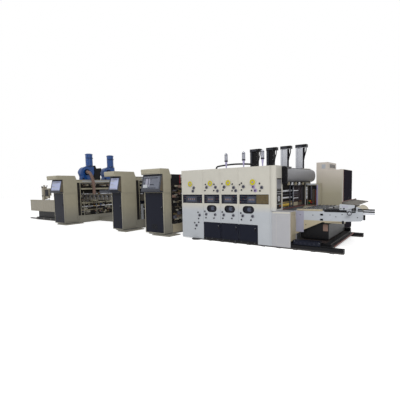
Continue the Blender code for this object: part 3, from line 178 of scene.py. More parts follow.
Surface = namedtuple("Surface", "tint rough metal vary grain stretch bump kind gloss")


def surface(tint, rough=0.45, metal=0.0, vary=0.06, grain=9.0, stretch=(1, 1, 1), bump=0.02, kind="solid",
            gloss=0.35):
    return Surface(tint, rough, metal, vary, grain, stretch, bump, kind, gloss)


SURFACES = {
    "cream": surface("cream", 0.42, vary=0.05, grain=7),
    "housing": surface("cream", 0.42, vary=0.05, grain=7, kind="tone_bands_and_shading"),
    "feed_plate": surface("pale", 0.38, vary=0.06, grain=8, kind="tone_bands_and_shading"),
    "cool": surface("cool", 0.40, vary=0.05, grain=7),
    # Consoles and modules darken towards the foot: painted shade.
    "shade": surface("shade", 0.48, vary=0.09, grain=6, kind="tone_bands_and_shading"),
    "shade_back": surface("shade", 0.48, vary=0.09, grain=6),
    # The cabinet's cream lightens towards the top: painted light.
    "cabinet": surface("sunlit", 0.45, vary=0.05, grain=4, kind="tone_bands_and_shading"),
    "dusk": surface("dusk", 0.48, vary=0.09, grain=6),
    "navy": surface("navy", 0.35, vary=0.16, grain=10, gloss=0.10),
    "black": surface("black", 0.42, vary=0.30, grain=14, gloss=0.14),
    "slate": surface("slate", 0.70, vary=0.16, grain=5, stretch=(1, 1, 0.3), gloss=0.0),
    # Painted shade for the dark insides.
    "inner_shade": surface("inner_shade", 0.60, vary=0.40, grain=11, bump=0.06, gloss=0.10),
    "lilac": surface("lilac", 0.42, vary=0.08, grain=7),
    "front": surface("front", 0.40, vary=0.05, grain=6),
    "deck": surface("deck", 0.50, vary=0.28, grain=12, gloss=0.15),
    "tray": surface("tray", 0.50, vary=0.10, grain=5),
    "grey": surface("grey", 0.40, vary=0.12, grain=10),
    "pale": surface("pale", 0.38, vary=0.06, grain=8),
    "beige": surface("beige", 0.45, vary=0.08, grain=8),
    "steel": surface("steel", 0.28, 0.85, 0.08, 30, (1, 0.06, 1), 0.03),
    # Bright steel, partly a painted highlight where it whitens the feed rolls and the guard's bars.
    "bright": surface("bright", 0.30, 0.25, 0.05, 30, (1, 0.06, 1), 0.02),
    "steel_up": surface("steel", 0.32, 0.75, 0.10, 30, (1, 1, 0.06), 0.03),
    "dull": surface("dull", 0.50, 0.30, 0.30, 16, (0.12, 1, 1), 0.05, gloss=0.20),
    "blue": surface("blue", 0.26, vary=0.14, grain=8, gloss=0.5),
    "rubber": surface("rubber", 0.62, vary=0.20, grain=40, bump=0.06, gloss=0.12),
    "duct": surface("duct", 0.60, vary=0.18, grain=30, bump=0.06),
    "brush": surface("brush", 0.70, vary=0.45, grain=60, stretch=(1, 1, 0.05), bump=0.30),
    "ring": surface("ring", 0.38, vary=0.08, grain=40),
    "mauve": surface("mauve", 0.35, vary=0.10, grain=40),
    "knob": surface("knob", 0.34, vary=0.18, grain=60, bump=0.05, gloss=0.15),
    "cap": surface("cap", 0.30, 0.3, 0.12, 70, bump=0.03),
    "glass": surface("glass", 0.10, vary=0.35, grain=3, bump=0.004, gloss=0.20),
    "pane": surface("pane", 0.10, vary=0.25, grain=2, bump=0.004, kind="pane"),
    "screen": surface("screen", 0.20, vary=0.10, grain=5, kind="glow"),
    "dim": surface("dim", 0.18, vary=0.25, grain=18, kind="dusk"),
    "bezel": surface("bezel", 0.40, vary=0.14, grain=30, gloss=0.15),
    "lens": surface("lens", 0.10, vary=0.10, grain=14, stretch=(1, 1, 0.2), bump=0.004, kind="clear"),
    "stem": surface("stem", 0.35, 0.4, 0.08, 40, (1, 1, 0.1), 0.02),
    "red": surface("red", 0.30, vary=0.10, grain=60),
    "green": surface("green", 0.30, vary=0.10, grain=60),
    "amber": surface("amber", 0.28, vary=0.12, grain=60),
    "sill": surface("sill", 0.50, vary=0.22, grain=20),
    "olive": surface("olive", 0.30, vary=0.40, grain=14, stretch=(1, 1, 0.4), gloss=0.2),
    "belt": surface("belt", 0.70, vary=0.20, grain=26, stretch=(0.2, 1, 1), bump=0.08),
    "stripe": surface("stripe", 0.40, vary=0.14, grain=20),
    "pad": surface("pad", 0.60, vary=0.20, grain=30, bump=0.06),
}
DUST_HEIGHT = 0.05
DUST_TINT = (0.36, 0.34, 0.31)
# Lower tones by height: cool grey on the housings and beige on the feed plates are two-tone paint; the darker
# foot of the consoles and modules is painted shade; the cabinet's lighter top over shaded cream is painted
# light.
LOWER_AND_SHADED_TONES = {"housing": ("cool", 0.92, 1.12), "feed_plate": ("beige", 0.742, 0.748),
               "shade": ("dusk", 0.30, 1.00), "cabinet": ("shade", 1.35, 2.15)}


def linear(value):
    return tuple(c / 12.92 if c <= 0.04045 else ((c + 0.055) / 1.055) ** 2.4 for c in value)


def scaled(value, share):
    return (*[min(1.0, c * share) for c in value], 1.0)


class Nodes:
    """The node tree of one finish, wired with short calls."""

    def __init__(self, tree):
        self.tree = tree

    def add(self, kind, **inputs):
        item = self.tree.nodes.new(kind)
        for key, value in inputs.items():
            if key in item.inputs:
                item.inputs[key].default_value = value
            else:
                setattr(item, key, value)
        return item

    def link(self, source, target):
        self.tree.links.new(source, target)


def noise(nodes, place, scale, detail=4.0):
    item = nodes.add("ShaderNodeTexNoise", Scale=scale, Detail=detail)
    nodes.link(place, item.inputs["Vector"])
    return item.outputs["Fac"]


def remap(nodes, value, low, high, start=0.3, end=0.7):
    item = nodes.add("ShaderNodeMapRange")
    for key, number in zip(("From Min", "From Max", "To Min", "To Max"), (start, end, low, high)):
        item.inputs[key].default_value = number
    nodes.link(value, item.inputs["Value"])
    return item.outputs["Result"]


def mixed(nodes, share, first, second):
    item = nodes.add("ShaderNodeMix", data_type="RGBA")
    nodes.link(share, item.inputs["Factor"])
    for socket, value in ((item.inputs["A"], first), (item.inputs["B"], second)):
        if isinstance(value, tuple):
            socket.default_value = value
        else:
            nodes.link(value, socket)
    return item.outputs["Result"]


def finish(name):
    """A painted, metal, glass or screen material with uneven colour, gloss and a fine bump."""
    label = f"finish_{name}"
    existing = bpy.data.materials.get(label)
    if existing:
        return existing
    look = SURFACES[name]
    material = bpy.data.materials.new(label)
    material.use_nodes = True
    nodes = Nodes(material.node_tree)
    shader = material.node_tree.nodes["Principled BSDF"]
    place = nodes.add("ShaderNodeTexCoord").outputs["Object"]
    stretched = nodes.add("ShaderNodeMapping", Scale=look.stretch)
    nodes.link(place, stretched.inputs["Vector"])
    grain = stretched.outputs["Vector"]
    split = nodes.add("ShaderNodeSeparateXYZ")
    nodes.link(place, split.inputs["Vector"])
    height = split.outputs["Z"]
    tint = linear(getattr(settings(), look.tint))
    tone = mixed(nodes, noise(nodes, grain, look.grain), scaled(tint, 1 - look.vary),
                 scaled(tint, 1 + look.vary))
    # Height bands: two-tone paint on the housings and feed plates, painted shade at the consoles' foot, painted
    # light at the cabinet's top.
    if look.kind == "tone_bands_and_shading":
        second, start, end = LOWER_AND_SHADED_TONES[name]
        second = linear(getattr(settings(), second))
        lower = mixed(nodes, noise(nodes, grain, look.grain), scaled(second, 0.95), scaled(second, 1.05))
        tone = mixed(nodes, remap(nodes, height, 0.0, 1.0, start, end), lower, tone)
    if look.kind in ("solid", "tone_bands_and_shading"):
        specks = noise(nodes, place, 45, 6)
        dust = nodes.add("ShaderNodeMath", operation="MULTIPLY")
        nodes.link(remap(nodes, height, 0.55, 0.0, 0.0, DUST_HEIGHT), dust.inputs[0])
        nodes.link(remap(nodes, specks, 0.2, 1.0), dust.inputs[1])
        tone = mixed(nodes, dust.outputs["Value"], tone, (*DUST_TINT, 1.0))
    nodes.link(tone, shader.inputs["Base Color"])
    fine = noise(nodes, grain, look.grain * 5, 6)
    spread = look.rough * 0.25
    nodes.link(remap(nodes, fine, look.rough - spread, look.rough + spread), shader.inputs["Roughness"])
    bump = nodes.add("ShaderNodeBump", Strength=look.bump, Distance=0.002)
    nodes.link(fine, bump.inputs["Height"])
    nodes.link(bump.outputs["Normal"], shader.inputs["Normal"])
    shader.inputs["Metallic"].default_value = look.metal
    shader.inputs["Specular IOR Level"].default_value = look.gloss
    if look.kind in ("glow", "dusk"):
        nodes.link(tone, shader.inputs["Emission Color"])
        shader.inputs["Emission Strength"].default_value = 0.30 if look.kind == "glow" else 0.10
    if look.kind == "clear":
        shader.inputs["Transmission Weight"].default_value = 0.30
        shader.inputs["IOR"].default_value = 1.45
    if look.kind == "pane":
        shader.inputs["Transmission Weight"].default_value = 0.20
    return material


def dress(name, *finishes):
    """Gives a CAD node its finish."""
    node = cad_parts[name]
    node.data.materials.clear()
    for item in finishes:
        node.data.materials.append(finish(item))


# Shapes

AXES = {"X": (1, 2, 0), "Y": (0, 2, 1), "Z": (0, 1, 2)}


def point(axis, across, along):
    """A point from its two cross coordinates and its place along the axis."""
    values = [0.0, 0.0, 0.0]
    first, second, third = AXES[axis]
    values[first], values[second], values[third] = across[0], across[1], along
    return Vector(values)


def arc(centre, radius, start, end, steps):
    turns = [math.radians(start + (end - start) * i / steps) for i in range(steps + 1)]
    return [(centre[0] + radius * math.cos(t), centre[1] + radius * math.sin(t)) for t in turns]


class Piece:
    """Shapes that make one piece, each with its own finish, in one mesh."""

    def __init__(self, name):
        self.name = name
        self.mesh = bmesh.new()
        self.finishes = []

    def index(self, name):
        if name not in self.finishes:
            self.finishes.append(name)
        return self.finishes.index(name)

    def loft(self, rings, name, smooth=False, closed=True, caps=True):
        """Skins a row of rings, each a list of points."""
        made = [[self.mesh.verts.new(p) for p in ring] for ring in rings]
        slot = self.index(name)
        count = len(made[0])
        faces = []
        for low, high in zip(made, made[1:]):
            for i in range(count if closed else count - 1):
                j = (i + 1) % count
                faces.append(self.mesh.faces.new((low[i], low[j], high[j], high[i])))
        for face in faces:
            face.smooth = smooth
        if caps:
            faces.append(self.mesh.faces.new(list(reversed(made[0]))))
            faces.append(self.mesh.faces.new(made[-1]))
        for face in faces:
            face.material_index = slot
        return faces

    def prism(self, outline, axis, low, high, name, bevel=0.0):
        rings = [[point(axis, p, along) for p in outline] for along in (low, high)]
        faces = self.loft(rings, name)
        if bevel:
            edges = list({edge for face in faces for edge in face.edges})
            made = bmesh.ops.bevel(self.mesh, geom=edges, offset=bevel, segments=1, affect="EDGES",
                                   clamp_overlap=True)
            for face in made["faces"]:
                face.material_index = self.index(name)

    def block(self, x, y, z, name, bevel=BEVEL):
        (left, right), (near, far), (low, high) = [sorted(pair) for pair in (x, y, z)]
        bevel = min(bevel, (right - left) / 4, (far - near) / 4, (high - low) / 4)
        self.prism([(left, near), (right, near), (right, far), (left, far)], "Z", low, high, name, bevel)

    def turned(self, axis, centre, stations, name, sides=24):
        """A round shape from (place along the axis, radius) stations, with crisp steps kept."""
        rings = []
        for along, radius in stations:
            ring = arc(centre, max(radius, 0.0005), 0, 360, sides)[:-1]
            rings.append([point(axis, p, along) for p in ring])
        for low, high in zip(rings, rings[1:]):
            self.loft([low, high], name, smooth=True, caps=False)
        slot = self.index(name)
        for ring in (rings[0], rings[-1]):
            face = self.mesh.faces.new([self.mesh.verts.new(p) for p in ring])
            face.material_index = slot

    def rod(self, axis, centre, radius, low, high, name, sides=24, bevel=0.0):
        low, high = sorted((low, high))
        if not bevel:
            self.turned(axis, centre, [(low, radius), (high, radius)], name, sides)
            return
        self.turned(axis, centre, [(low, radius - bevel), (low + bevel, radius), (high - bevel, radius),
                                   (high, radius - bevel)], name, sides)

    def ring(self, axis, centre, outer, inner, low, high, name, sides=32):
        """A flat ring with a hole."""
        stations = [(low, inner), (low, outer), (high, outer), (high, inner), (low, inner)]
        for (a, ra), (b, rb) in zip(stations, stations[1:]):
            rings = [[point(axis, p, along) for p in arc(centre, radius, 0, 360, sides)[:-1]]
                     for along, radius in ((a, ra), (b, rb))]
            self.loft(rings, name, smooth=True, caps=False)

    def skin(self, line, reaches, name, sides):
        """Rings about a line of points, each at its own reach, skinned into one tube."""
        rings, side = [], None
        for i, (spot, reach) in enumerate(zip(line, reaches)):
            ahead = (line[min(i + 1, len(line) - 1)] - line[max(i - 1, 0)]).normalized()
            if side is None:
                side = ahead.orthogonal().normalized()
            side = (side - ahead * side.dot(ahead)).normalized()
            up = ahead.cross(side)
            turns = [2 * math.pi * k / sides for k in range(sides)]
            rings.append([spot + (side * math.cos(t) + up * math.sin(t)) * reach for t in turns])
        self.loft(rings, name, smooth=True)

    def tube(self, points, radius, name, sides=10, steps=6):
        """A round tube along a smooth curve through the points."""
        line = smooth_line([Vector(p) for p in points], steps)
        self.skin(line, [radius] * len(line), name, sides)

    def corrugated(self, points, radius, depth, pitch, name, sides=14):
        """A ribbed hose along the points: rings that swell and narrow."""
        spots = even_line(smooth_line([Vector(p) for p in points], 10), pitch / 2)
        self.skin(spots, [radius - (depth if i % 2 else 0) for i in range(len(spots))], name, sides)

    def done(self, body, replaces=()):
        """Turns the shapes into an object parented to an empty named after its CAD body."""
        bmesh.ops.recalc_face_normals(self.mesh, faces=self.mesh.faces)
        data = bpy.data.meshes.new(self.name)
        self.mesh.to_mesh(data)
        self.mesh.free()
        made = bpy.data.objects.new(self.name, data)
        bpy.context.scene.collection.objects.link(made)
        for name in self.finishes:
            data.materials.append(finish(name))
        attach(made, body)
        if replaces:
            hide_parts(*replaces)
        return made


def smooth_line(points, steps):
    """Points along a Catmull-Rom curve."""
    line = []
    padded = [points[0]] + points + [points[-1]]
    for a, b, c, d in zip(padded, padded[1:], padded[2:], padded[3:]):
        for i in range(steps):
            t = i / steps
            line.append(((b * 2) + (c - a) * t + (a * 2 - b * 5 + c * 4 - d) * t * t
                         + (b * 3 - a - c * 3 + d) * t * t * t) / 2)
    return line + [points[-1]]


def even_line(line, pitch):
    """The same line with its points a pitch apart."""
    spots = [line[0]]
    for spot in line[1:]:
        while (spot - spots[-1]).length >= pitch:
            spots.append(spots[-1] + (spot - spots[-1]).normalized() * pitch)
    return spots


# Places taken from the frame

DOOR_GAP = 0.006
RIDGE = 0.17


def about(middle, half):
    """The span that reaches half to each side of the middle."""
    return middle - half, middle + half


def low(name):
    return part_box(name)[0]


def high(name):
    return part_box(name)[1]


def unit_edges():
    """The left edges of the four printing units and the right edge of the last."""
    doors = [low(f"access_door_{i}").x - DOOR_GAP for i in (2, 3, 4)]
    return [low("near_side_housing").x] + doors + [high("near_side_housing").x - RIDGE]


def front():
    return low("access_door_2").y


def stadium(centre, half, radius, steps=8):
    """A rounded bar outline, half its length to each side of the centre."""
    x, z = centre
    return arc((x + half, z), radius, -90, 90, steps) + arc((x - half, z), radius, 90, 270, steps)


def hollow(piece, outer, inner, axis, start, end, name):
    """A frame between two outlines with the same number of points."""
    rings = [[point(axis, p, along) for p in outline]
             for outline, along in ((outer, end), (outer, start), (inner, start), (inner, end))]
    piece.loft(rings, name, caps=False)


def rectangle(left, right, foot, top):
    return [(left, foot), (right, foot), (right, top), (left, top)]


def frame_block(piece, axis, sides, width, start, end, name):
    """A picture-frame border of one width."""
    left, right, foot, top = sides
    hollow(piece, rectangle(left, right, foot, top),
           rectangle(left + width, right - width, foot + width, top - width), axis, start, end, name)


def knob(piece, x, z, face, radius, depth, name="knob"):
    """A panel knob on a face that looks towards the operator."""
    piece.turned("Y", (x, z), [(face, radius * 1.15), (face - depth * 0.15, radius * 1.15),
                               (face - depth * 0.2, radius), (face - depth * 0.85, radius * 0.92),
                               (face - depth, radius * 0.7)], name, 16)


def screws(piece, axis, spots, face, sign, name="steel"):
    """Small domed screw heads on a flat face."""
    radius = panels().rivet
    for spot in spots:
        piece.turned(axis, spot, [(face, radius), (face + sign * radius * 0.5, radius * 0.8),
                                  (face + sign * radius * 0.7, radius * 0.3)], name, 8)


def ring_spots(centre, radius, count, start=0.0):
    """Points evenly round a circle, from a start angle in radians."""
    turns = [start + 2 * math.pi * k / count for k in range(count)]
    return [(centre[0] + radius * math.cos(t), centre[1] + radius * math.sin(t)) for t in turns]


def slits(piece, x, y, foot, pitch, height, count, name):
    """A row of vent slits, one above the other, on a face that looks along Y."""
    for k in range(count):
        z = foot + k * pitch
        piece.block(x, y, (z, z + height), name, 0.001)


# The printing block

UPPER_KNOBS = (
    ((0.50, 1.64, 1), (0.46, 1.54, 1)),
    ((0.10, 1.74, 0), (0.14, 1.65, 1), (0.08, 1.55, 0), (0.42, 1.74, 0), (0.47, 1.65, 1), (0.41, 1.55, 0),
     (0.54, 1.54, 1)),
    ((0.07, 1.75, 0), (0.14, 1.65, 1), (0.10, 1.56, 0), (0.42, 1.73, 0), (0.46, 1.63, 1), (0.41, 1.54, 0),
     (0.53, 1.54, 1)),
    ((0.11, 1.75, 0), (0.05, 1.71, 0), (0.17, 1.65, 1), (0.11, 1.56, 0), (0.48, 1.64, 2), (0.43, 1.54, 0),
     (0.54, 1.54, 2), (0.67, 1.73, 0), (0.73, 1.62, 1), (0.68, 1.53, 0)),
)
LOWER_KNOBS = (
    ((0.65, 0.87, 0), (0.71, 0.78, 1), (0.67, 0.67, 0), (0.51, 0.53, 0), (0.67, 0.55, 0), (0.58, 0.45, 1),
     (0.53, 0.34, 0)),
    ((0.06, 0.91, 0), (0.11, 0.82, 1), (0.10, 0.71, 0), (0.44, 0.82, 1), (0.40, 0.71, 0)),
    ((0.06, 0.91, 0), (0.11, 0.82, 1), (0.08, 0.72, 0), (0.44, 0.82, 1), (0.39, 0.73, 0)),
    ((0.08, 0.90, 0), (0.14, 0.82, 1), (0.10, 0.71, 0), (0.45, 0.82, 1), (0.40, 0.71, 0)),
)
KNOB_FINISHES = ("knob", "cap", "mauve")
TICK_REACH = 1.5
DIALS = ((0.37, 1.77), (0.29, 1.77), (0.29, 1.77), (0.47, 1.77))
DIAL_RADIUS = 0.085
DIAL_HUB = 0.030
DIAL_RISE = 0.03
DIAL_TICKS = 0.066
STRIP = (1.16, 1.43, 0.035)
STRIP_DEPTH = 0.012
SCREENS = ((0.17, 0.62), (0.13, 0.43), (0.11, 0.42), (0.28, 0.56))
SCREEN_HEIGHTS = (1.185, 1.385)
OVAL = (0.32, 1.00, 0.10, 0.35, 0.03)
UPPER_PANEL = (1.49, 2.14)


def unit_knobs(piece, left, knobs, face, wide):
    """Knobs of one unit: black ones, wide capped ones and mauve ones."""
    small = panels().knob
    for offset, z, kind in knobs:
        radius = wide if kind else small
        knob(piece, left + offset, z, face, radius, panels().depth, KNOB_FINISHES[kind])
        if kind:
            knob(piece, left + offset, z, face - panels().depth * 0.6, radius * 0.55, panels().depth * 0.8)
            for x, height in arc((left + offset, z), radius * TICK_REACH, -30, 195, 5):
                piece.block(about(x, 0.004), (face - 0.001, face + STAND), about(height, 0.004),
                            "knob", bevel=0)


def dial(piece, x, z, face):
    """The yellow ring, its hub and the tick marks."""
    edge = face - DIAL_RISE
    piece.ring("Y", (x, z), DIAL_RADIUS - 0.004, DIAL_HUB, edge - 0.002, edge + 0.012, "ring")
    piece.turned("Y", (x, z), [(edge + 0.01, DIAL_HUB), (edge - 0.004, DIAL_HUB * 0.9),
                               (edge - 0.006, DIAL_HUB * 0.4)], "mauve", 20)
    for spot in ring_spots((x, z), DIAL_TICKS, 12):
        piece.block((spot[0] - 0.003, spot[0] + 0.003), (edge - 0.0026, edge - 0.0015),
                    (spot[1] - 0.003, spot[1] + 0.003), "knob", bevel=0)


def strip(piece, unit, left, right, face):
    """A dark control strip: display with its bezel, lamps, switches and a row of keys."""
    foot, top, margin = STRIP
    back = face + STRIP_DEPTH
    left, right = left + margin, right - margin
    piece.block((left, right), (back - 0.004, back - STAND), (foot, top), "navy")
    start, end = SCREENS[unit]
    start, end = left - margin + start, left - margin + end
    low_z, high_z = SCREEN_HEIGHTS
    piece.block((start, end), (back - 0.009, back - 0.004), (low_z, high_z), "bezel")
    inset = (end - start) * 0.16
    piece.block((start + inset, end - inset), (back - 0.0105, back - 0.009), (low_z + 0.03, high_z - 0.03),
                "dim")
    middle, step = (low_z + high_z) / 2, (end - start - 2 * inset) / 4
    for i in range(4):
        x = start + inset + (i + 0.25) * step
        piece.block((x, x + step * 0.5), (back - 0.0115, back - 0.0105), about(middle, 0.022), "duct",
                    bevel=0.001)
    colours = ("cap", "dim", "bezel", "sill", "dim", "cap", "belt")
    spots = [left + 0.03 + k * 0.045 for k in range(int((start - left - 0.04) / 0.045) + 1)]
    spots += [end + 0.035 + k * 0.05 for k in range(int((right - end - 0.05) / 0.05) + 1)]
    for i, x in enumerate(spots):
        for j, z in enumerate((foot + 0.06, foot + 0.135, foot + 0.21)):
            tint = colours[(i * 2 + j * 3 + unit) % len(colours)]
            piece.turned("Y", (x, z), [(back - 0.004, 0.011), (back - 0.008, 0.011), (back - 0.011, 0.006)],
                         tint, 10)
    if unit == 3:
        piece.block((end + 0.01, right - 0.01), (back - 0.012, back - 0.004), (foot + 0.015, top - 0.015),
                    "olive")
        for k in range(3):
            z = foot + 0.06 + k * 0.075
            piece.tube([(end + 0.03, back - 0.014, z), ((end + right) / 2, back - 0.014, z + 0.014),
                        (right - 0.03, back - 0.014, z)], 0.003, "belt", 6)


def oval(piece, centre, face):
    """An oval window: rubber rim, dark glass and the roll end behind it."""
    _, z, radius, span, depth = OVAL
    half = span / 2 - radius
    x = centre
    back = face + depth
    hollow(piece, stadium((x, z), half, radius + 0.006), stadium((x, z), half, radius - 0.012), "Y",
           face - 0.004, face + 0.012, "rubber")
    piece.prism(stadium((x, z), half, radius - 0.002), "Y", back - 0.006, back - STAND, "glass")
    # The roll end takes the dim display finish, so it glows faintly though it is no lamp: painted light.
    piece.turned("Y",
                 (x + 0.015, z + 0.005), [(back - 0.006, 0.062), (back - 0.012, 0.058), (back - 0.012, 0.02)],
                 "dim", 20)
    piece.block((x + 0.055, x + 0.075), (back - 0.012, back - 0.006), (z - 0.05, z + 0.06), "cap", 0.004)
    piece.block((x - 0.11, x - 0.08), (back - 0.010, back - 0.006), (z - 0.04, z + 0.05), "navy", 0.004)


class GLUER_OT_block_front(Operator):
    """Dials, knobs, control strips and oval windows of the four printing units"""
    bl_idname = "gluer.block_front"
    bl_label = "Block front"

    def execute(self, context):
        edges, face = unit_edges(), front()
        dress("near_side_housing", "housing")
        for unit, (left, right) in enumerate(zip(edges, edges[1:])):
            piece = Piece(f"unit_{unit + 1}_controls")
            x, z = left + DIALS[unit][0], DIALS[unit][1]
            dial(piece, x, z, face)
            unit_knobs(piece, left, UPPER_KNOBS[unit], face, panels().wide_knob)
            unit_knobs(piece, left, LOWER_KNOBS[unit], face, panels().wide_knob * 0.9)
            strip(piece, unit, left, right, face)
            if unit:
                oval(piece, left + OVAL[0], face)
            panel_foot, panel_top = UPPER_PANEL
            frame_block(piece, "Y", (left + 0.03, right - 0.03, panel_foot, panel_top), 0.004,
                        face - STAND * 2, face, "cream")
            spots = [(left + 0.05, panel_top - 0.02), (right - 0.05, panel_top - 0.02),
                     (left + 0.05, panel_foot + 0.02), (right - 0.05, panel_foot + 0.02)]
            screws(piece, "Y", spots, face, -1, "cream")
            piece.done("line")
        return {"FINISHED"}


class GLUER_OT_block_doors(Operator):
    """Access doors with handles and the dark strip under them"""
    bl_idname = "gluer.block_doors"
    bl_label = "Block doors and foot"

    def execute(self, context):
        for i in (2, 3, 4):
            name = f"access_door_{i}"
            dress(name, "navy")
            (left, face, foot), (right, _, top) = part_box(name)
            piece = Piece(f"{name}_trim")
            frame_block(piece, "Y", (left + 0.016, right - 0.004, foot + 0.016, top - 0.004), 0.012,
                        face - 0.002, face + 0.001, "navy")
            x = right - 0.07
            piece.block(about(x, 0.014), (face - 0.016, face + STAND), (top - 0.20, top - 0.08), "black",
                        0.004)
            piece.turned("Y", (x, top - 0.10), [(face - 0.015, 0.008), (face - 0.020, 0.006)], "steel", 12)
            for z in (foot + 0.05, top - 0.05):
                piece.rod("Z", (left + 0.008, face - 0.001), 0.006, z - 0.025, z + 0.025, "black", 10)
            screws(piece,
                   "Y", [(left + 0.03, foot + 0.03), (right - 0.03, foot + 0.03), (right - 0.03, top - 0.03),
                                (left + 0.03, top - 0.03)], face, -1, "black")
            piece.done(name)
        dress("door_kick_plate", "black")
        kick = Piece("kick_plate_screws")
        face = low("door_kick_plate").y
        span = (low("door_kick_plate").x, high("door_kick_plate").x)
        spots = [(span[0] + (span[1] - span[0]) * (k + 0.5) / 9, 0.07) for k in range(9)]
        screws(kick, "Y", spots, face, -1)
        kick.done("line")
        return {"FINISHED"}


RAIL_SIDE = 1.47


class GLUER_OT_rails(Operator):
    """Floor rails with their sole plates and bolts"""
    bl_idname = "gluer.rails"
    bl_label = "Floor rails"

    def execute(self, context):
        dress("floor_rails", "black")
        left, right = low("floor_rails").x, high("floor_rails").x
        piece = Piece("rail_tops")
        for sign in (-1, 1):
            outer = sign * RAIL_SIDE
            for k in range(10):
                x = left + 0.25 + k * (right - left - 0.5) / 9
                piece.block(about(x, 0.05), (outer, outer + sign * 0.05), (0, 0.014), "black")
                piece.rod("Z", (x, outer + sign * 0.028), 0.011, 0.014, 0.026, "steel", 6)
        piece.done("line")
        return {"FINISHED"}


class GLUER_OT_end_wall(Operator):
    """The tall window in the near end wall, with its grey panel, bars and wheel"""
    bl_idname = "gluer.end_wall"
    bl_label = "End wall window"

    def execute(self, context):
        face = high("near_side_housing").x
        back = face - 0.03
        near, far = low("near_side_housing").y + 0.08, high("near_side_housing").y - 0.05
        foot, top = 1.03, 1.86
        middle = 1.56
        piece = Piece("end_wall_window")
        piece.block((back + STAND, back + 0.010), (near, far), (foot, top), "pane")
        piece.block((back + 0.010, back + 0.022), (near + 0.03, far - 0.03), (middle + 0.02, top - 0.03),
                    "grey")
        piece.block((back + 0.010, back + 0.018), (near + 0.01, far - 0.01), (foot + 0.02, middle), "black")
        width = far - near
        for z in (1.50, 1.44, 1.16):
            piece.rod("Y", (back + 0.022, z), 0.009, near + 0.02, far - 0.02, "steel", 12)
        piece.ring("X", (near + width * 0.45, 1.31), 0.075, 0.045, back + 0.016, back + 0.026, "steel")
        piece.turned("X", (near + width * 0.45, 1.31), [(back + 0.016, 0.03), (back + 0.028, 0.024)], "cap",
                     16)
        for k in range(4):
            z = 1.10 + k * 0.035
            piece.block((back + 0.018, back + 0.024), (near + width * 0.6, far - 0.05), (z, z + 0.015),
                        ("amber", "cap", "green", "sill")[k])
        frame_block(piece, "X", (near - 0.012, far + 0.012, foot - 0.012, top + 0.012), 0.014,
                    face - 0.004, face + 0.002, "cream")
        screws(piece, "X", [(near - 0.03, 0.98 + k * 0.23) for k in range(6)], face, 1, "cream")
        piece.done("line")
        return {"FINISHED"}


class GLUER_OT_block_back(Operator):
    """The drive side of the printing block: gear covers, motors and vents"""
    bl_idname = "gluer.block_back"
    bl_label = "Block back"

    def execute(self, context):
        dress("far_side_housing", "housing")
        face = high("far_side_housing").y
        edges = unit_edges()
        piece = Piece("drive_side_covers")
        for left, right in zip(edges, edges[1:]):
            frame_block(piece, "Y", (left + 0.05, right - 0.05, 0.30, 2.05), 0.006, face, face + STAND * 2,
                        "cream")
            x, half = (left + right) / 2, 0.14
            slits(piece, about(x, half), (face, face + 0.004), 0.45, 0.035, 0.014, 8, "bezel")
            screws(piece, "Y", [(x + sx, z) for sx in (-0.22, 0.22) for z in (0.36, 1.2, 2.0)], face, 1,
                   "cream")
            piece.block((right - 0.13, right - 0.10), (face, face + 0.022), (1.12, 1.26), "black", 0.004)
        piece.done("line")
        for i in range(4):
            dress(f"print_roll_{i + 1}", "steel")
        return {"FINISHED"}


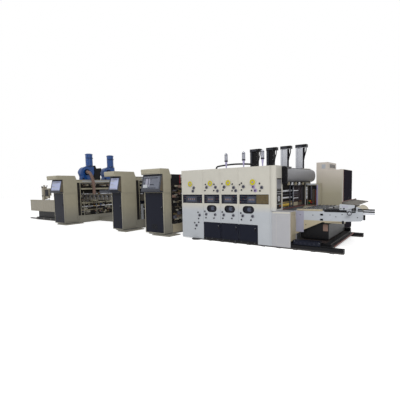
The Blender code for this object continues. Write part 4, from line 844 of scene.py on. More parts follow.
class GLUER_OT_block_top(Operator):
    """Lift columns, signal lamps, the arched hose and the ties on top of the block"""
    bl_idname = "gluer.block_top"
    bl_label = "Block top"

    def execute(self, context):
        dress("top_frame", "black")
        for i in range(4):
            self.column(i)
        for i in range(3):
            self.lamp(i)
        self.hose()
        return {"FINISHED"}

    def column(self, index):
        """A column's scale, screws and head; the last two are bare metal with black heads."""
        name = f"lift_column_{index + 1}"
        bare = index > 1
        dress(name, "steel_up" if bare else "black")
        (left, near, foot), (right, far, top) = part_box(name)
        left, right, near, far = left + 0.008, right - 0.12, near + 0.008, far - 0.008
        piece = Piece(f"{name}_fittings")
        if not bare:
            piece.block((left + 0.035, left + 0.085), (near - 0.004, near + STAND), (foot + 0.02, top - 0.10),
                        "bezel")
        screws(piece, "Y", [(x, foot + 0.08 + k * 0.15) for x in (left + 0.025,
                                                                  right - 0.025) for k in range(5)],
               near, -1, "steel")
        piece.block((left - 0.02, right + 0.02), (near - 0.02, far + 0.02), (foot, foot + 0.012), "black")
        if bare:
            piece.block((right - 0.02, right + 0.004), (near + 0.003, far - 0.003),
                        (foot + 0.014, top - 0.11), "slate")
            piece.block((left - 0.0095, right + 0.1215), (near - 0.0095, far + 0.0095),
                        (top - 0.102, top + 0.002),
                        "black")
            reach, centre = 0.12, (near + far) / 2
            for share in (0.7, 0.25):
                x = right + reach * share
                piece.tube([(x, centre, top - 0.058), (x, centre, top - 0.208),
                            (right + 0.03, centre, top - 0.408),
                            (right - 0.014, centre, top - 0.608)], 0.0175, "rubber", 10)
        piece.block((left + 0.02, right - 0.02), (near - 0.014, near - 0.008), (top - 0.08, top - 0.03),
                    "bezel", 0.002)
        piece.done("line")

    def lamp(self, index):
        """Stem, dark collar, ribbed clear lens and the bulb inside; the dark rods round the lens are painted
        reflection for the glass's dark edges.
        """
        name = f"signal_lamp_{index + 1}"
        (left, near, foot), (right, far, top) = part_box(name)
        x, y = (left + right) / 2, (near + far) / 2
        collar = foot + 0.20
        piece = Piece(f"{name}_looks")
        piece.turned("Z",
                     (x,
                      y), [(foot, 0.036), (foot + 0.006, 0.036), (foot + 0.008, 0.017), (foot + 0.06, 0.018),
                                   (collar - 0.06, 0.031), (collar, 0.034)], "stem", 20)
        piece.turned("Z", (x, y), [(collar, 0.050), (collar + 0.006, 0.052), (collar + 0.030, 0.052),
                                   (collar + 0.036, 0.046)], "knob", 24)
        stations = [(collar + 0.036, 0.042)]
        steps = 12
        for k in range(steps):
            z = collar + 0.036 + (k + 1) * (top - 0.05 - collar - 0.036) / steps
            stations.append((z, 0.045 if k % 2 else 0.0425))
        stations += [(top - 0.05 + 0.045 * math.sin(t), 0.045 * math.cos(t)) for t in (0.4, 0.8, 1.2, 1.5)]
        piece.turned("Z", (x, y), stations, "lens", 24)
        # Painted reflection: dark rods round the lens stand in for the dark edges that the glass shows.
        for spot in ring_spots((x, y), 0.0445, 10, 0.2):
            piece.rod("Z", spot, 0.004, collar + 0.036, top - 0.055, "bezel", 6)
        piece.turned("Z", (x, y), [(top - 0.062, 0.044), (top - 0.060, 0.048), (top - 0.050, 0.048),
                                   (top - 0.046, 0.044)], "bezel", 24)
        piece.turned("Z", (x, y), [(top - 0.02, 0.032), (top - 0.012, 0.024), (top - 0.001, 0.008)], "cap",
                     16)
        piece.done("line", [name])

    def hose(self):
        """The black hose that leaves the housing's top, arches and goes back in."""
        (_, near, start), (_, far, _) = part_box("top_hose")
        radius = (far - near) / 2
        y, ends, rise = (near + far) / 2, (-0.56, 0.72), 0.125
        bend, side = radius * 4, start + rise * 0.75
        route = [(ends[0], y, start), (ends[0], y, start + radius * 2), (ends[0] + bend, y, side),
                 (sum(ends) / 2, y, start + rise), (ends[1] - bend, y, side),
                 (ends[1], y, start + radius * 2),
                 (ends[1], y, start)]
        piece = Piece("top_hose_looks")
        piece.tube(route, radius, "rubber", 14, 10)
        line = smooth_line([Vector(p) for p in route], 10)
        hose = piece.done("line", ["top_hose"])
        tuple(route[0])
        glands = Piece("hose_glands")
        for x in ends:
            glands.turned("Z", (x, y), [(start - STAND, 0.044), (start + 0.012, 0.042), (start + 0.014,
                                                                                         0.034),
                                        (start + 0.034, 0.030), (start + 0.036, 0.026)], "knob", 20)
        glands.done("line")


class GLUER_OT_mouth(Operator):
    """Cross beam, guard, feed rolls and the brush row where the sheets enter"""
    bl_idname = "gluer.mouth"
    bl_label = "Infeed mouth"

    def execute(self, context):
        self.beam()
        self.guard()
        self.brush()
        return {"FINISHED"}

    def beam(self):
        """The beam's black lid and top line, its dark foot and the nozzles under it."""
        dress("cross_beam", "grey")
        dress("beam_bracket", "black")
        (left, near, foot), (right, far, top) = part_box("cross_beam")
        lid = top - 0.03
        piece = Piece("beam_fittings")
        piece.block((left + 0.002, left + 0.1215), (near + 0.002, near + 0.3615), (lid + 0.001, top + 0.0015),
                    "black",
                    0.001)
        piece.block((left + 0.008, left + 0.062), (near + 0.375, far - 0.01), (lid - STAND, lid + 0.012),
                    "black")
        piece.block((left + 0.01, left + 0.055), (near + 0.01, far - 0.01), (foot - 0.012, foot + STAND),
                    "black")
        for k, y in enumerate(NOZZLES):
            tint = ("beige", "bright")[k % 2]
            piece.block((1.545, 1.585), about(y, 0.04), (foot - 0.075, foot - 0.012), tint)
            piece.rod("Y", (1.565, foot - 0.085), 0.018, y - 0.05, y + 0.05, tint, 12)
        for k in range(7):
            y = near + 0.25 + k * (far - near - 0.5) / 6
            screws(piece, "X", [(y, lid - 0.19)], right - 0.0004, 1, "grey")
        face = low("beam_bracket").y
        for spot in ((1.57, 1.74), (1.66, 1.74), (1.57, 2.14), (1.66, 1.94)):
            piece.turned("Y", spot, [(face, 0.010), (face - 0.006, 0.010), (face - 0.008, 0.007)], "bezel", 6)
        piece.done("line")

    def guard(self):
        """Bright feed rolls, their white partly a painted highlight, before dark sheets of painted shade; the
        guard's pane with two bright bars of painted highlight; and a red-brown sill.
        """
        # The feed rolls' near-white is partly their bright steel and partly a painted highlight.
        for name in ("feed_roll_1", "feed_roll_2"):
            dress(name, "bright")
        dress("feed_guard_frame", "bezel")
        (left, near, foot), (right, far, top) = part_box("feed_guard_frame")
        x = (left + right) / 2
        piece = Piece("guard_panes")
        # Painted shade: dark sheets behind the feed rolls and at the guard's far end, where the inside lies in
        # shade.
        piece.block((1.385, 1.395), (near + 0.001, far - 0.001), (1.19, 2.05), "inner_shade", 0.001)
        piece.block((1.397, 1.478), (far - 0.008, far - 0.001), (1.20, 2.04), "inner_shade", 0.001)
        for sign in (-1, 1):
            face = x + sign * 0.005
            piece.block((face, face + sign * 0.004), (-0.085, 0.705), (foot + 0.03, top - 0.03), "pane",
                        0.001)
        # Painted shade: a dark sheet in the middle of the guard.
        piece.block(about(x, 0.004), (0.735, far - 0.002), (foot + 0.015, top - 0.03), "inner_shade", 0.001)
        # Painted highlights: two bright bars across the pane stand in for the sheen along the roll sleeves.
        for z, half in ((1.492, 0.015), (1.265, 0.014)):
            piece.prism(stadium((x + 0.009, z), 0.0, half, 4), "Y", -0.083, 0.32, "bright")
        for z in (1.44, 1.40, 1.34):
            piece.block((x + 0.009, x + 0.012), (-0.083, 0.30), about(z, 0.008), "cap", 0.001)
        piece.block((right, right + 0.002), (-0.116, -0.084), (1.17, 1.60), "pale", 0.0005)
        piece.block((right, right + 0.014), (near + 0.01, far - 0.01), (foot, foot + 0.022), "sill")
        piece.block((x + 0.009, x + 0.013), (-0.083, 0.29), (foot + 0.05, foot + 0.16), "beige", 0.001)
        piece.block((x + 0.009, x + 0.013), (0.29, 0.70), (foot + 0.05, foot + 0.14), "belt", 0.001)
        for y in (-0.35, -0.10, 0.72):
            screws(piece, "X", [(y, foot + 0.06), (y, top - 0.06)], right, 1)
        piece.done("line")

    def brush(self):
        """Tufts that lean both ways along the brush row."""
        dress("feed_brush", "brush")
        (_, near, foot), (right, far, top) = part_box("feed_brush")
        count = rolls().bristles
        piece = Piece("brush_tufts")
        for k in range(count):
            y = near + 0.03 + k * (far - near - 0.06) / (count - 1)
            lean = 0.022 if k % 2 else -0.018
            shade = "brush" if y < -0.25 else "beige"
            rings = []
            for z, radius, shift in ((top - 0.03, 0.011, 0), (foot + 0.04, 0.013, lean * 0.5),
                                     (foot - 0.004, 0.016, lean)):
                ring = arc((right + 0.003, y + shift), radius, 0, 360, 8)[:-1]
                rings.append([Vector((min(a, right + 0.009), b, z)) for a, b in ring])
            piece.loft(rings, shade, smooth=True)
        piece.block((right - 0.004, right + 0.006), (near + 0.01, far - 0.01), (top - 0.035, top - 0.004),
                    "dull")
        piece.done("line")


# The feed unit

INFEED_FACE = -1.10
DECK_TOP = 1.0
DRIVE_BOX = (1.98, 2.66, 0.245)
CARRIAGE_TOP = 0.20
CABINET_WIDTH = 0.86
CABINET_DEPTH = 1.42
CABINET_ROOF = 2.14
FAR_WINDOW_BARS = (
    (1.60, 0.030, 1.03, 1.60, "black"), (1.69, 0.034, 1.18, 1.635, "cap"), (1.735, 0.016, 1.04, 1.50, "dull"),
    (1.775, 0.024, 1.04, 1.52, "belt"), (1.80, 0.070, 1.54, 1.60, "navy"), (1.835, 0.020, 1.04, 1.50, "sill"),
    (1.60, 0.10, 1.11, 1.14, "amber"), (1.61, 0.05, 1.055, 1.09, "green"), (1.68, 0.05, 1.06, 1.09, "red"),
    (1.74, 0.06, 1.10, 1.13, "sill"),
)


class GLUER_OT_feed_box(Operator):
    """The cream feed box, the far frame with its window, and their seams"""
    bl_idname = "gluer.feed_box"
    bl_label = "Feed box and far frame"

    def execute(self, context):
        dress("feed_box", "front")
        dress("feed_far_frame", "shade_back")
        (left, face, foot), (right, _, top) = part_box("feed_box")
        piece = Piece("feed_box_trim")
        piece.block((left + 0.02, right - 0.01), (face - 0.003, face + STAND), (top - 0.05, top - 0.012),
                    "cream")
        frame_block(piece, "Y", (left + 0.12, right - 0.02, foot + 0.06, top - 0.10), 0.004, face - STAND * 2,
                    face,
                    "cream")
        screws(piece, "Y", [(x, z) for x in (left + 0.14, right - 0.04) for z in (foot + 0.10, 0.46,
                                                                                  top - 0.13)],
               face, -1, "cream")
        piece.block((right - STAND, right + 0.003), (face + 0.005, -1.12), (0.205, top - 0.01), "beige",
                    0.002)
        frame_block(piece, "X", (face + 0.05, -1.14, 0.34, top - 0.08), 0.006, right + 0.003, right + 0.005,
                    "beige")
        screws(piece, "X", [(face + 0.08, 0.40), (face + 0.08, top - 0.12)], right + 0.003, 1)
        piece.done("feed_unit")
        far = Piece("far_frame_window")
        left, right, foot, top, plane = 1.596, 1.88, 1.00, 1.64, 1.06
        # Painted shade: a dark back behind the window's bars, and a dark strip beside it where the end lies in
        # shadow.
        far.block((left, right), (plane - 0.008, plane - STAND), (foot, top), "inner_shade")
        far.block((1.5475, 1.5945), (0.994, 0.9995), (foot - 0.02, 1.652), "inner_shade")
        far.block((1.5475, 1.852), (0.990, 0.9995), (1.653, 1.698), "pale")
        for x, wide, low_z, high_z, tint in FAR_WINDOW_BARS:
            far.block((x, x + wide), (plane - 0.030, plane - 0.008), (low_z, high_z), tint)
        for z, half in ((1.22, 0.012), (1.27, 0.022), (1.33, 0.012), (1.39, 0.020), (1.45, 0.012),
                        (1.51, 0.022),
                        (1.57, 0.014)):
            far.block((1.571 - half, 1.571 + half), (0.982, 0.994), about(z, 0.026), "bright", 0.006)
        far.block((left, right), (0.985, 0.999), (foot - 0.022, foot - 0.002), "sill")
        far.block((1.882, 1.926), (0.990, 0.9995), (foot - 0.03, 1.66), "stem")
        screws(far, "Y", [(1.905, z) for z in (1.08, 1.30, 1.60)], 0.992, -1)
        far.block((2.06, 2.13), (1.098, 1.1055), (0.21, 0.44), "black")
        far.done("feed_unit")
        return {"FINISHED"}


class GLUER_OT_infeed(Operator):
    """Side plates, deck slats, under box, loading plate, guide, slide bars and handwheel"""
    bl_idname = "gluer.infeed"
    bl_label = "Infeed table"

    def execute(self, context):
        self.frame_sides()
        self.deck()
        self.loader()
        self.wheel()
        return {"FINISHED"}

    def frame_sides(self):
        """Pale upper and beige lower plates, slot covers, bolts and the end bars."""
        dress("infeed_frame", "feed_plate")
        dress("side_guide", "pale")
        dress("guide_rail", "black")
        face = INFEED_FACE
        piece = Piece("infeed_side_trim")
        for z in (0.90, 0.77):
            piece.block((2.555, 2.635), (face + 0.02, face + 0.03), about(z, 0.027), "black")
            frame_block(piece, "Y", (2.550, 2.640, z - 0.032, z + 0.032), 0.006, face - 0.004, face + 0.002,
                        "pale")
        for x, z in ((2.05, 0.88), (2.20, 0.62), (2.38, 0.88), (2.80, 0.90), (2.94, 0.86), (3.08, 0.92),
                     (3.42, 0.86)):
            piece.turned("Y", (x, z), [(face, 0.012), (face - 0.006, 0.012), (face - 0.009, 0.006)], "black",
                         10)
        piece.block((1.94, 2.145), (face - 0.006, face + STAND), (0.42, 0.985), "lilac", 0.003)
        piece.block((1.96, 2.62), (face - 0.010, face + 0.030), (0.985, 1.035), "beige", 0.010)
        piece.block((2.66, 3.38), (face - 0.006, face + 0.012), (0.972, 1.0), "black", 0.002)
        piece.block((2.665, 3.08), (face - 0.002, face + 0.024), (0.692, 0.712), "beige", 0.003)
        piece.block((3.075, 3.125), (face - 0.004, face + 0.026), (0.688, 0.765), "black", 0.004)
        piece.prism([(2.02, 0.24), (2.74, 0.24), (2.74, 0.64), (2.62, 0.68), (2.30, 0.56), (2.02, 0.42)], "Y",
                    -0.96,
                    0.94, "black", 0.006)
        piece.block((2.60, 2.72), (-0.975, -0.96), (0.46, 0.64), "duct", 0.006)
        # Five dark discs on the under box's face, in the near-black of painted shade.
        for k in range(5):
            piece.rod("Y", (2.12 + k * 0.12, 0.30), 0.022, -0.97, -0.96, "inner_shade", 14, 0.004)
        for y in (-0.90, 0.88):
            piece.block((2.10, 2.66), about(y, 0.03), (0.2065, 0.24), "black")
        end = high("infeed_frame").x
        for z, tint in ((0.935, "steel"), (0.985, "black"), (1.035, "black")):
            piece.block((3.42, end - STAND), (face + 0.008, face + 0.042), (z - 0.001, z + 0.031), tint,
                        0.003)
        for z in (0.9665, 1.0165):
            piece.block((3.545, end - 0.01), (face + 0.014, face + 0.036), (z, z + 0.017), "bright", 0.002)
        piece.block((3.542, 3.584), (face + 0.004, face + 0.046), (0.80, 0.925), "black", 0.004)
        rounded = [(3.388, 0.962)] + arc((3.386, 0.9615), 0.1555, 2, 88, 10)
        piece.prism(rounded, "Y", -1.072, -0.19, "beige")
        piece.done("feed_unit")
        marks = Piece("guide_marks")
        plane = low("side_guide").y
        for k in range(3):
            x = 3.10 + k * 0.045
            marks.block((x, x + 0.014), (plane - 0.003, plane + STAND), (1.10, 1.13), "mauve", 0.001)
        marks.turned("Y", (3.13, 1.07), [(plane, 0.018), (plane - 0.016, 0.018), (plane - 0.020, 0.010)],
                     "knob", 16)
        marks.turned("Y", (3.06, 1.07), [(plane, 0.012), (plane - 0.012, 0.012)], "knob", 14)
        marks.done("feed_unit")

    def deck(self):
        """Feed wheels in rows in the deck, slats and a beige edge."""
        piece = Piece("deck_fittings")
        top = DECK_TOP
        for row in range(5):
            x = 2.02 + row * 0.115
            for k in range(13):
                y = -0.90 + k * 0.15
                piece.rod("Y", (x, top - 0.012), 0.030, y - 0.022, y + 0.022, "rubber", 14, 0.003)
        for k in range(7):
            y = -0.93 + k * 0.31
            piece.block((2.58, 3.02), about(y, 0.03), (top, top + 0.010), "dull", 0.002)
        for y in (-1.075, -0.92):
            piece.block((2.66, 3.02), about(y, 0.012), (top + 0.041, top + 0.044), "cap", 0.001)
        piece.block((1.95, 2.60), (1.0, 1.045), (top, top + 0.012), "beige")
        piece.block((2.595, 2.615), (-1.04, 1.04), (top, top + 0.016), "steel")
        piece.done("feed_unit")

    def loader(self):
        """The loading plate's worn face, pinkish lip and cushion strips."""
        dress("loading_table", "dull")
        (left, near, _), (right, far, top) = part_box("loading_table")
        piece = Piece("loader_trim")
        piece.block((left - 0.004, left + 0.010), (near, far), (top - 0.006, top + 0.008), "sill")
        for k in range(9):
            y = near + 0.10 + k * (far - near - 0.2) / 8
            outline = [(left + 0.03, 1.1870), (right - 0.03, 1.1535), (right - 0.03, 1.1575),
                       (left + 0.03, 1.1910)]
            piece.prism(outline, "Y", y - 0.05, y + 0.05, ("belt", "dull")[k % 2])
        piece.done("feed_unit")

    def wheel(self):
        """A dark rim with a pale hub and a crank knob."""
        dress("handwheel", "steel")
        (left, plane, foot), (right, _, top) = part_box("handwheel")
        centre = ((left + right) / 2, (foot + top) / 2)
        piece = Piece("handwheel_grip")
        tilt = [(0.0572, 0.0), (0.0520, 0.0105), (0.0380, 0.0105), (0.0328, 0.0), (0.0380, -0.0105),
                (0.0520, -0.0105), (0.0572, 0.0)]
        for (ra, ya), (rb, yb) in zip(tilt, tilt[1:]):
            rings = [[point("Y", p, plane + 0.011 + y) for p in arc(centre, radius, 0, 360, 32)[:-1]]
                     for radius, y in ((ra, ya), (rb, yb))]
            piece.loft(rings, "knob", smooth=True, caps=False)
        piece.turned("Y", centre, [(plane + 0.012, 0.024), (plane - 0.002, 0.022), (plane - 0.004, 0.010)],
                     "pale", 20)
        piece.turned("Y", (centre[0], centre[1] + 0.045), [(plane, 0.006), (plane - 0.010, 0.006),
                                                           (plane - 0.012, 0.011), (plane - 0.034, 0.009)],
                                                           "knob", 14)
        piece.done("handwheel")


class GLUER_OT_carriage(Operator):
    """The feed unit's carriage: worn deck, red-brown step edge and navy drive box"""
    bl_idname = "gluer.carriage"
    bl_label = "Carriage"

    def execute(self, context):
        dress("feed_carriage", "black")
        near = low("feed_carriage").y
        deck = CARRIAGE_TOP
        piece = Piece("carriage_trim")
        piece.block((1.97, 2.76), (-1.25, 1.10), (deck, deck + 0.006), "deck")
        for k in range(6):
            y = -0.82 + k * 0.33
            piece.block((2.0, 2.73), about(y, 0.006), (deck + 0.006, deck + 0.012), "bezel", 0.002)
        piece.block((2.872, 2.948), (-1.26, 1.26), (0.1302, 0.140), "deck")
        piece.block((2.935, 2.955), (-1.27, 1.27), (0.118, 0.142), "sill")
        box_left, box_right, box_top = DRIVE_BOX
        piece.block((box_left + 0.004, box_right - 0.004), (near - 0.006, near + STAND),
                    (0.13, box_top - 0.004), "navy")
        piece.block((box_left + 0.02, box_right - 0.02), (near + 0.01, near + 0.13),
                    (box_top, box_top + 0.005), "navy")
        for k in range(6):
            x = box_left + 0.06 + k * 0.11
            piece.block((x, x + 0.05), (near - 0.009, near - 0.006), (0.165, 0.172), "bezel", 0.001)
            piece.block((x, x + 0.05), (near - 0.009, near - 0.006), (0.190, 0.197), "bezel", 0.001)
        screws(piece, "Y", [(box_left + 0.03, 0.22), (box_right - 0.03, 0.22)], near - 0.006, -1)
        piece.done("feed_unit")
        return {"FINISHED"}


class GLUER_OT_cabinet(Operator):
    """The drive cabinet: doors, handles, vents, plinth and the box on top"""
    bl_idname = "gluer.cabinet"
    bl_label = "Drive cabinet"

    def execute(self, context):
        # The cabinet finish lightens towards the top: painted light.
        dress("drive_cabinet", "cabinet")
        right, far, _ = high("drive_cabinet")
        left, near = right - CABINET_WIDTH, far - CABINET_DEPTH
        roof = CABINET_ROOF
        piece = Piece("cabinet_trim")
        middle = (near + far) / 2
        for start, end in ((near + 0.014, middle - 0.004), (middle + 0.004, far - 0.003)):
            piece.block((right - 0.008, right + 0.004), (start, end), (0.105, roof - 0.012), "slate", 0.004)
        piece.block((right - 0.008, right + 0.004), (near + 0.003, near + 0.012), (0.105, roof - 0.012),
                    "sill", 0.001)
        for y in about(middle, 0.06):
            piece.block((right + 0.004, right + 0.020), about(y, 0.012), (1.05, 1.22), "black", 0.004)
        frame_block(piece, "Y", (left + 0.04, right - 0.04, 0.14, roof - 0.07), 0.005, near - 0.002,
                    near + STAND, "cream")
        piece.block((left + 0.18, left + 0.30), (near - 0.005, near + STAND), (2.19, 2.33), "pale", 0.004)
        screws(piece,
               "Y", [(left + 0.20, 2.31), (left + 0.28, 2.31), (left + 0.20, 2.21), (left + 0.28, 2.21)],
               near - 0.005, -1)
        piece.block((right - 0.035, right - 0.004), (near - 0.003, near + STAND), (0.11, roof - 0.02),
                    "cream", 0.002)
        for k in range(6):
            y = near + 0.25 + k * 0.13
            piece.block((left + 0.3795, left + 0.386), (y, y + 0.07), (2.22, 2.34), "bezel", 0.002)
        for x in (left + 0.10, right - 0.10):
            for y in (near + 0.10, far - 0.10):
                if x > left + 0.2 or y > 2.68:
                    piece.ring("Z", (x, y), 0.026, 0.014, roof, roof + 0.012, "steel", 16)
        piece.done("line")
        return {"FINISHED"}


# The folding section

CONSOLES = {"1": "screen", "2": "screen", "3": "dim"}
CONSOLE_FACE = -1.50
SCREEN_FOOT = 1.57
SCREEN_LEAN = (0.1703, 0.0303)
ROW_SHARES = (0.82, 0.55, 0.7, 0.4, 0.64, 0.5, 0.9)
SHELF_TOP = 1.63
NOZZLES = (-0.65, -0.36, -0.06, 0.26, 0.63)
BED_HEIGHT = 1.28
# Colours of the fittings; the first two are painted shade.
FITTING_FINISHES = ("inner_shade", "inner_shade", "black", "belt", "dusk", "dull", "dull", "cap", "olive", "shade_back",
                    "duct")


class GLUER_OT_consoles(Operator):
    """Three operator consoles: navy doors, sloping screens, keys, canopies and side seams"""
    bl_idname = "gluer.consoles"
    bl_label = "Consoles"

    def execute(self, context):
        for key in CONSOLES:
            self.housing(key)
            self.screen(key)
            self.door(key)
        return {"FINISHED"}

    def housing(self, key):
        name = f"console_{key}_housing"
        # The shade finish darkens towards the foot: painted shade.
        dress(name, "shade")
        (left, near, foot), (right, far, top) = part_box(name)
        piece = Piece(f"{name}_trim")
        for face, sign in ((right, 1), (left, -1)):
            frame_block(piece, "X", (CONSOLE_FACE + 0.05, far - 0.06, foot + 0.06, 1.46), 0.006, face,
                        face + sign * 0.002, "shade")
            piece.block((face, face + sign * 0.002), (CONSOLE_FACE + 0.02, far - 0.02), (1.50, 1.508), "dusk",
                        0.001)
            screws(piece, "X", [(CONSOLE_FACE + 0.03, z) for z in (0.12, 0.8, 1.42, 1.60, 2.08)], face, sign,
                   "cap")
        canopy = top - 0.19
        piece.block((left + 0.01, right - 0.01), (near + 0.012, near + 0.03),
                    (canopy - 0.012, canopy + 0.002), "bezel")
        piece.block((left + 0.05, right - 0.05), (near - 0.004, near + 0.002), (canopy + 0.04, canopy + 0.09),
                    "shade_back", 0.002)
        middle = (left + right) / 2
        piece.block((middle, right + 0.03), (CONSOLE_FACE + 0.10, far - 0.01), (0.0005, 0.046), "bezel",
                    0.004)
        piece.block((middle - 0.12, right + 0.05), (CONSOLE_FACE + 0.06, CONSOLE_FACE + 0.10), (0.0005, 0.03),
                    "bezel",
                    0.004)
        piece.done("line")

    def screen(self, key):
        """The glass in its recess, the bezel, the keys on the lower slope and the status lights."""
        name = f"console_{key}_monitor"
        dress(name, "bezel")
        (left, _, _), (right, back, top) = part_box(name)
        start = Vector((CONSOLE_FACE - SCREEN_LEAN[0], SCREEN_FOOT))
        end = Vector((CONSOLE_FACE - SCREEN_LEAN[1], top))
        along = (end - start).normalized()
        inward = Vector((along.y, -along.x))
        margin, depth = 0.05, 0.008
        low_edge, high_edge = start + along * margin, end - along * margin
        piece = Piece(f"{name}_glass")

        def slab(a, b, start_depth, end_depth, x0, x1, tint):
            corners = [a + inward * start_depth, b + inward * start_depth, b + inward * end_depth,
                       a + inward * end_depth]
            piece.prism([(c.x, c.y) for c in corners], "X", x0, x1, tint)

        glow = CONSOLES[key]
        x0, x1 = left + margin + 0.002, right - margin - 0.002
        slab(low_edge + along * 0.002, high_edge - along * 0.002, depth - 0.0045, depth - STAND, x0, x1,
             "bezel")
        slab(low_edge + along * 0.02, high_edge - along * 0.02, depth - 0.007, depth - 0.0045, x0 + 0.02,
             x1 - 0.02,
             glow)
        rows = len(ROW_SHARES)
        run = (high_edge - low_edge).length - 0.07
        for k in range(rows):
            a = low_edge + along * (0.035 + k * run / rows)
            b = a + along * (run / rows * 0.42)
            share = ROW_SHARES[k]
            tint = ("lilac", "screen", "pale")[k % 3] if glow == "screen" else ("navy", "dim", "navy")[k % 3]
            slab(a, b, depth - 0.0078, depth - 0.007, x0 + 0.04, x0 + 0.04 + (x1 - x0 - 0.08) * share, tint)
        # Painted reflection: pale lilac bands across the dark screen of the third console; a cool grey patch
        # lies below them.
        if glow == "dim":
            wide, tall = x1 - x0, high_edge - low_edge
            for start_share, end_share in ((0.16, 0.30), (0.36, 0.42)):
                a, b = low_edge + tall * 0.20, low_edge + tall * 0.80
                slab(a, b, depth - 0.0084, depth - 0.0078, x0 + wide * start_share, x0 + wide * end_share,
                     "lilac")
            slab(low_edge + tall * 0.12, low_edge + tall * 0.34, depth - 0.0090, depth - 0.0084, x0 + 0.03,
                 x0 + wide * 0.30, "cool")
        piece.done("line")
        keys = Piece(f"{name}_keys")
        for x in (left, right):
            sign = 1 if x == right else -1
            side = [(start.x + 0.01, start.y + 0.01), (end.x, end.y - 0.01), (back - 0.012, end.y - 0.01),
                    (back - 0.012, start.y - 0.03)]
            keys.prism(side, "X", x - sign * STAND, x + sign * 0.003, "belt", 0.001)
        if key == "2":
            front_edge = low(name).y
            keys.block((left + 0.03, right - 0.03), (front_edge + 0.04, -1.72),
                       (SHELF_TOP + 0.0005, SHELF_TOP + 0.0045),
                       "bezel", 0.001)
            count = 9
            for i in range(count):
                for j in range(4):
                    x = left + 0.06 + i * (right - left - 0.12) / (count - 1)
                    y = front_edge + 0.08 + j * 0.06
                    tint = ("cap", "knob", "green", "red", "amber")[(i * 3 + j * 2) % 5 if j == 3 else 0]
                    keys.block(about(x, 0.014), about(y, 0.018), (SHELF_TOP + 0.0045, SHELF_TOP + 0.012),
                               tint,
                               0.003)
        keys.done("line")

    def door(self, key):
        name = f"console_{key}_door"
        dress(name, "navy")
        (left, face, foot), (right, _, top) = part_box(name)
        piece = Piece(f"{name}_trim")
        frame_block(piece, "Y", (left + 0.006, right - 0.006, foot + 0.006, top - 0.006), 0.014, face - 0.002,
                    face + 0.001, "navy")
        x = right - 0.06
        piece.block(about(x, 0.013), (face - 0.018, face + STAND), (0.86, 1.02), "black", 0.005)
        piece.turned("Y", (x, 0.99), [(face - 0.017, 0.009), (face - 0.022, 0.006)], "steel", 12)
        for z in (foot + 0.12, (foot + top) / 2, top - 0.12):
            piece.rod("Z", (left + 0.008, face - 0.001), 0.006, z - 0.03, z + 0.03, "black", 10)
        middle = (left + right) / 2
        slits(piece, about(middle, 0.14), (face - 0.004, face + STAND), foot + 0.12, 0.028, 0.011, 7, "black")
        if key != "2":
            piece.block((left + 0.10, right - 0.02), (face - 0.006, face + STAND), (top - 0.05, top - 0.02),
                        "black",
                        0.002)
        piece.done(name)


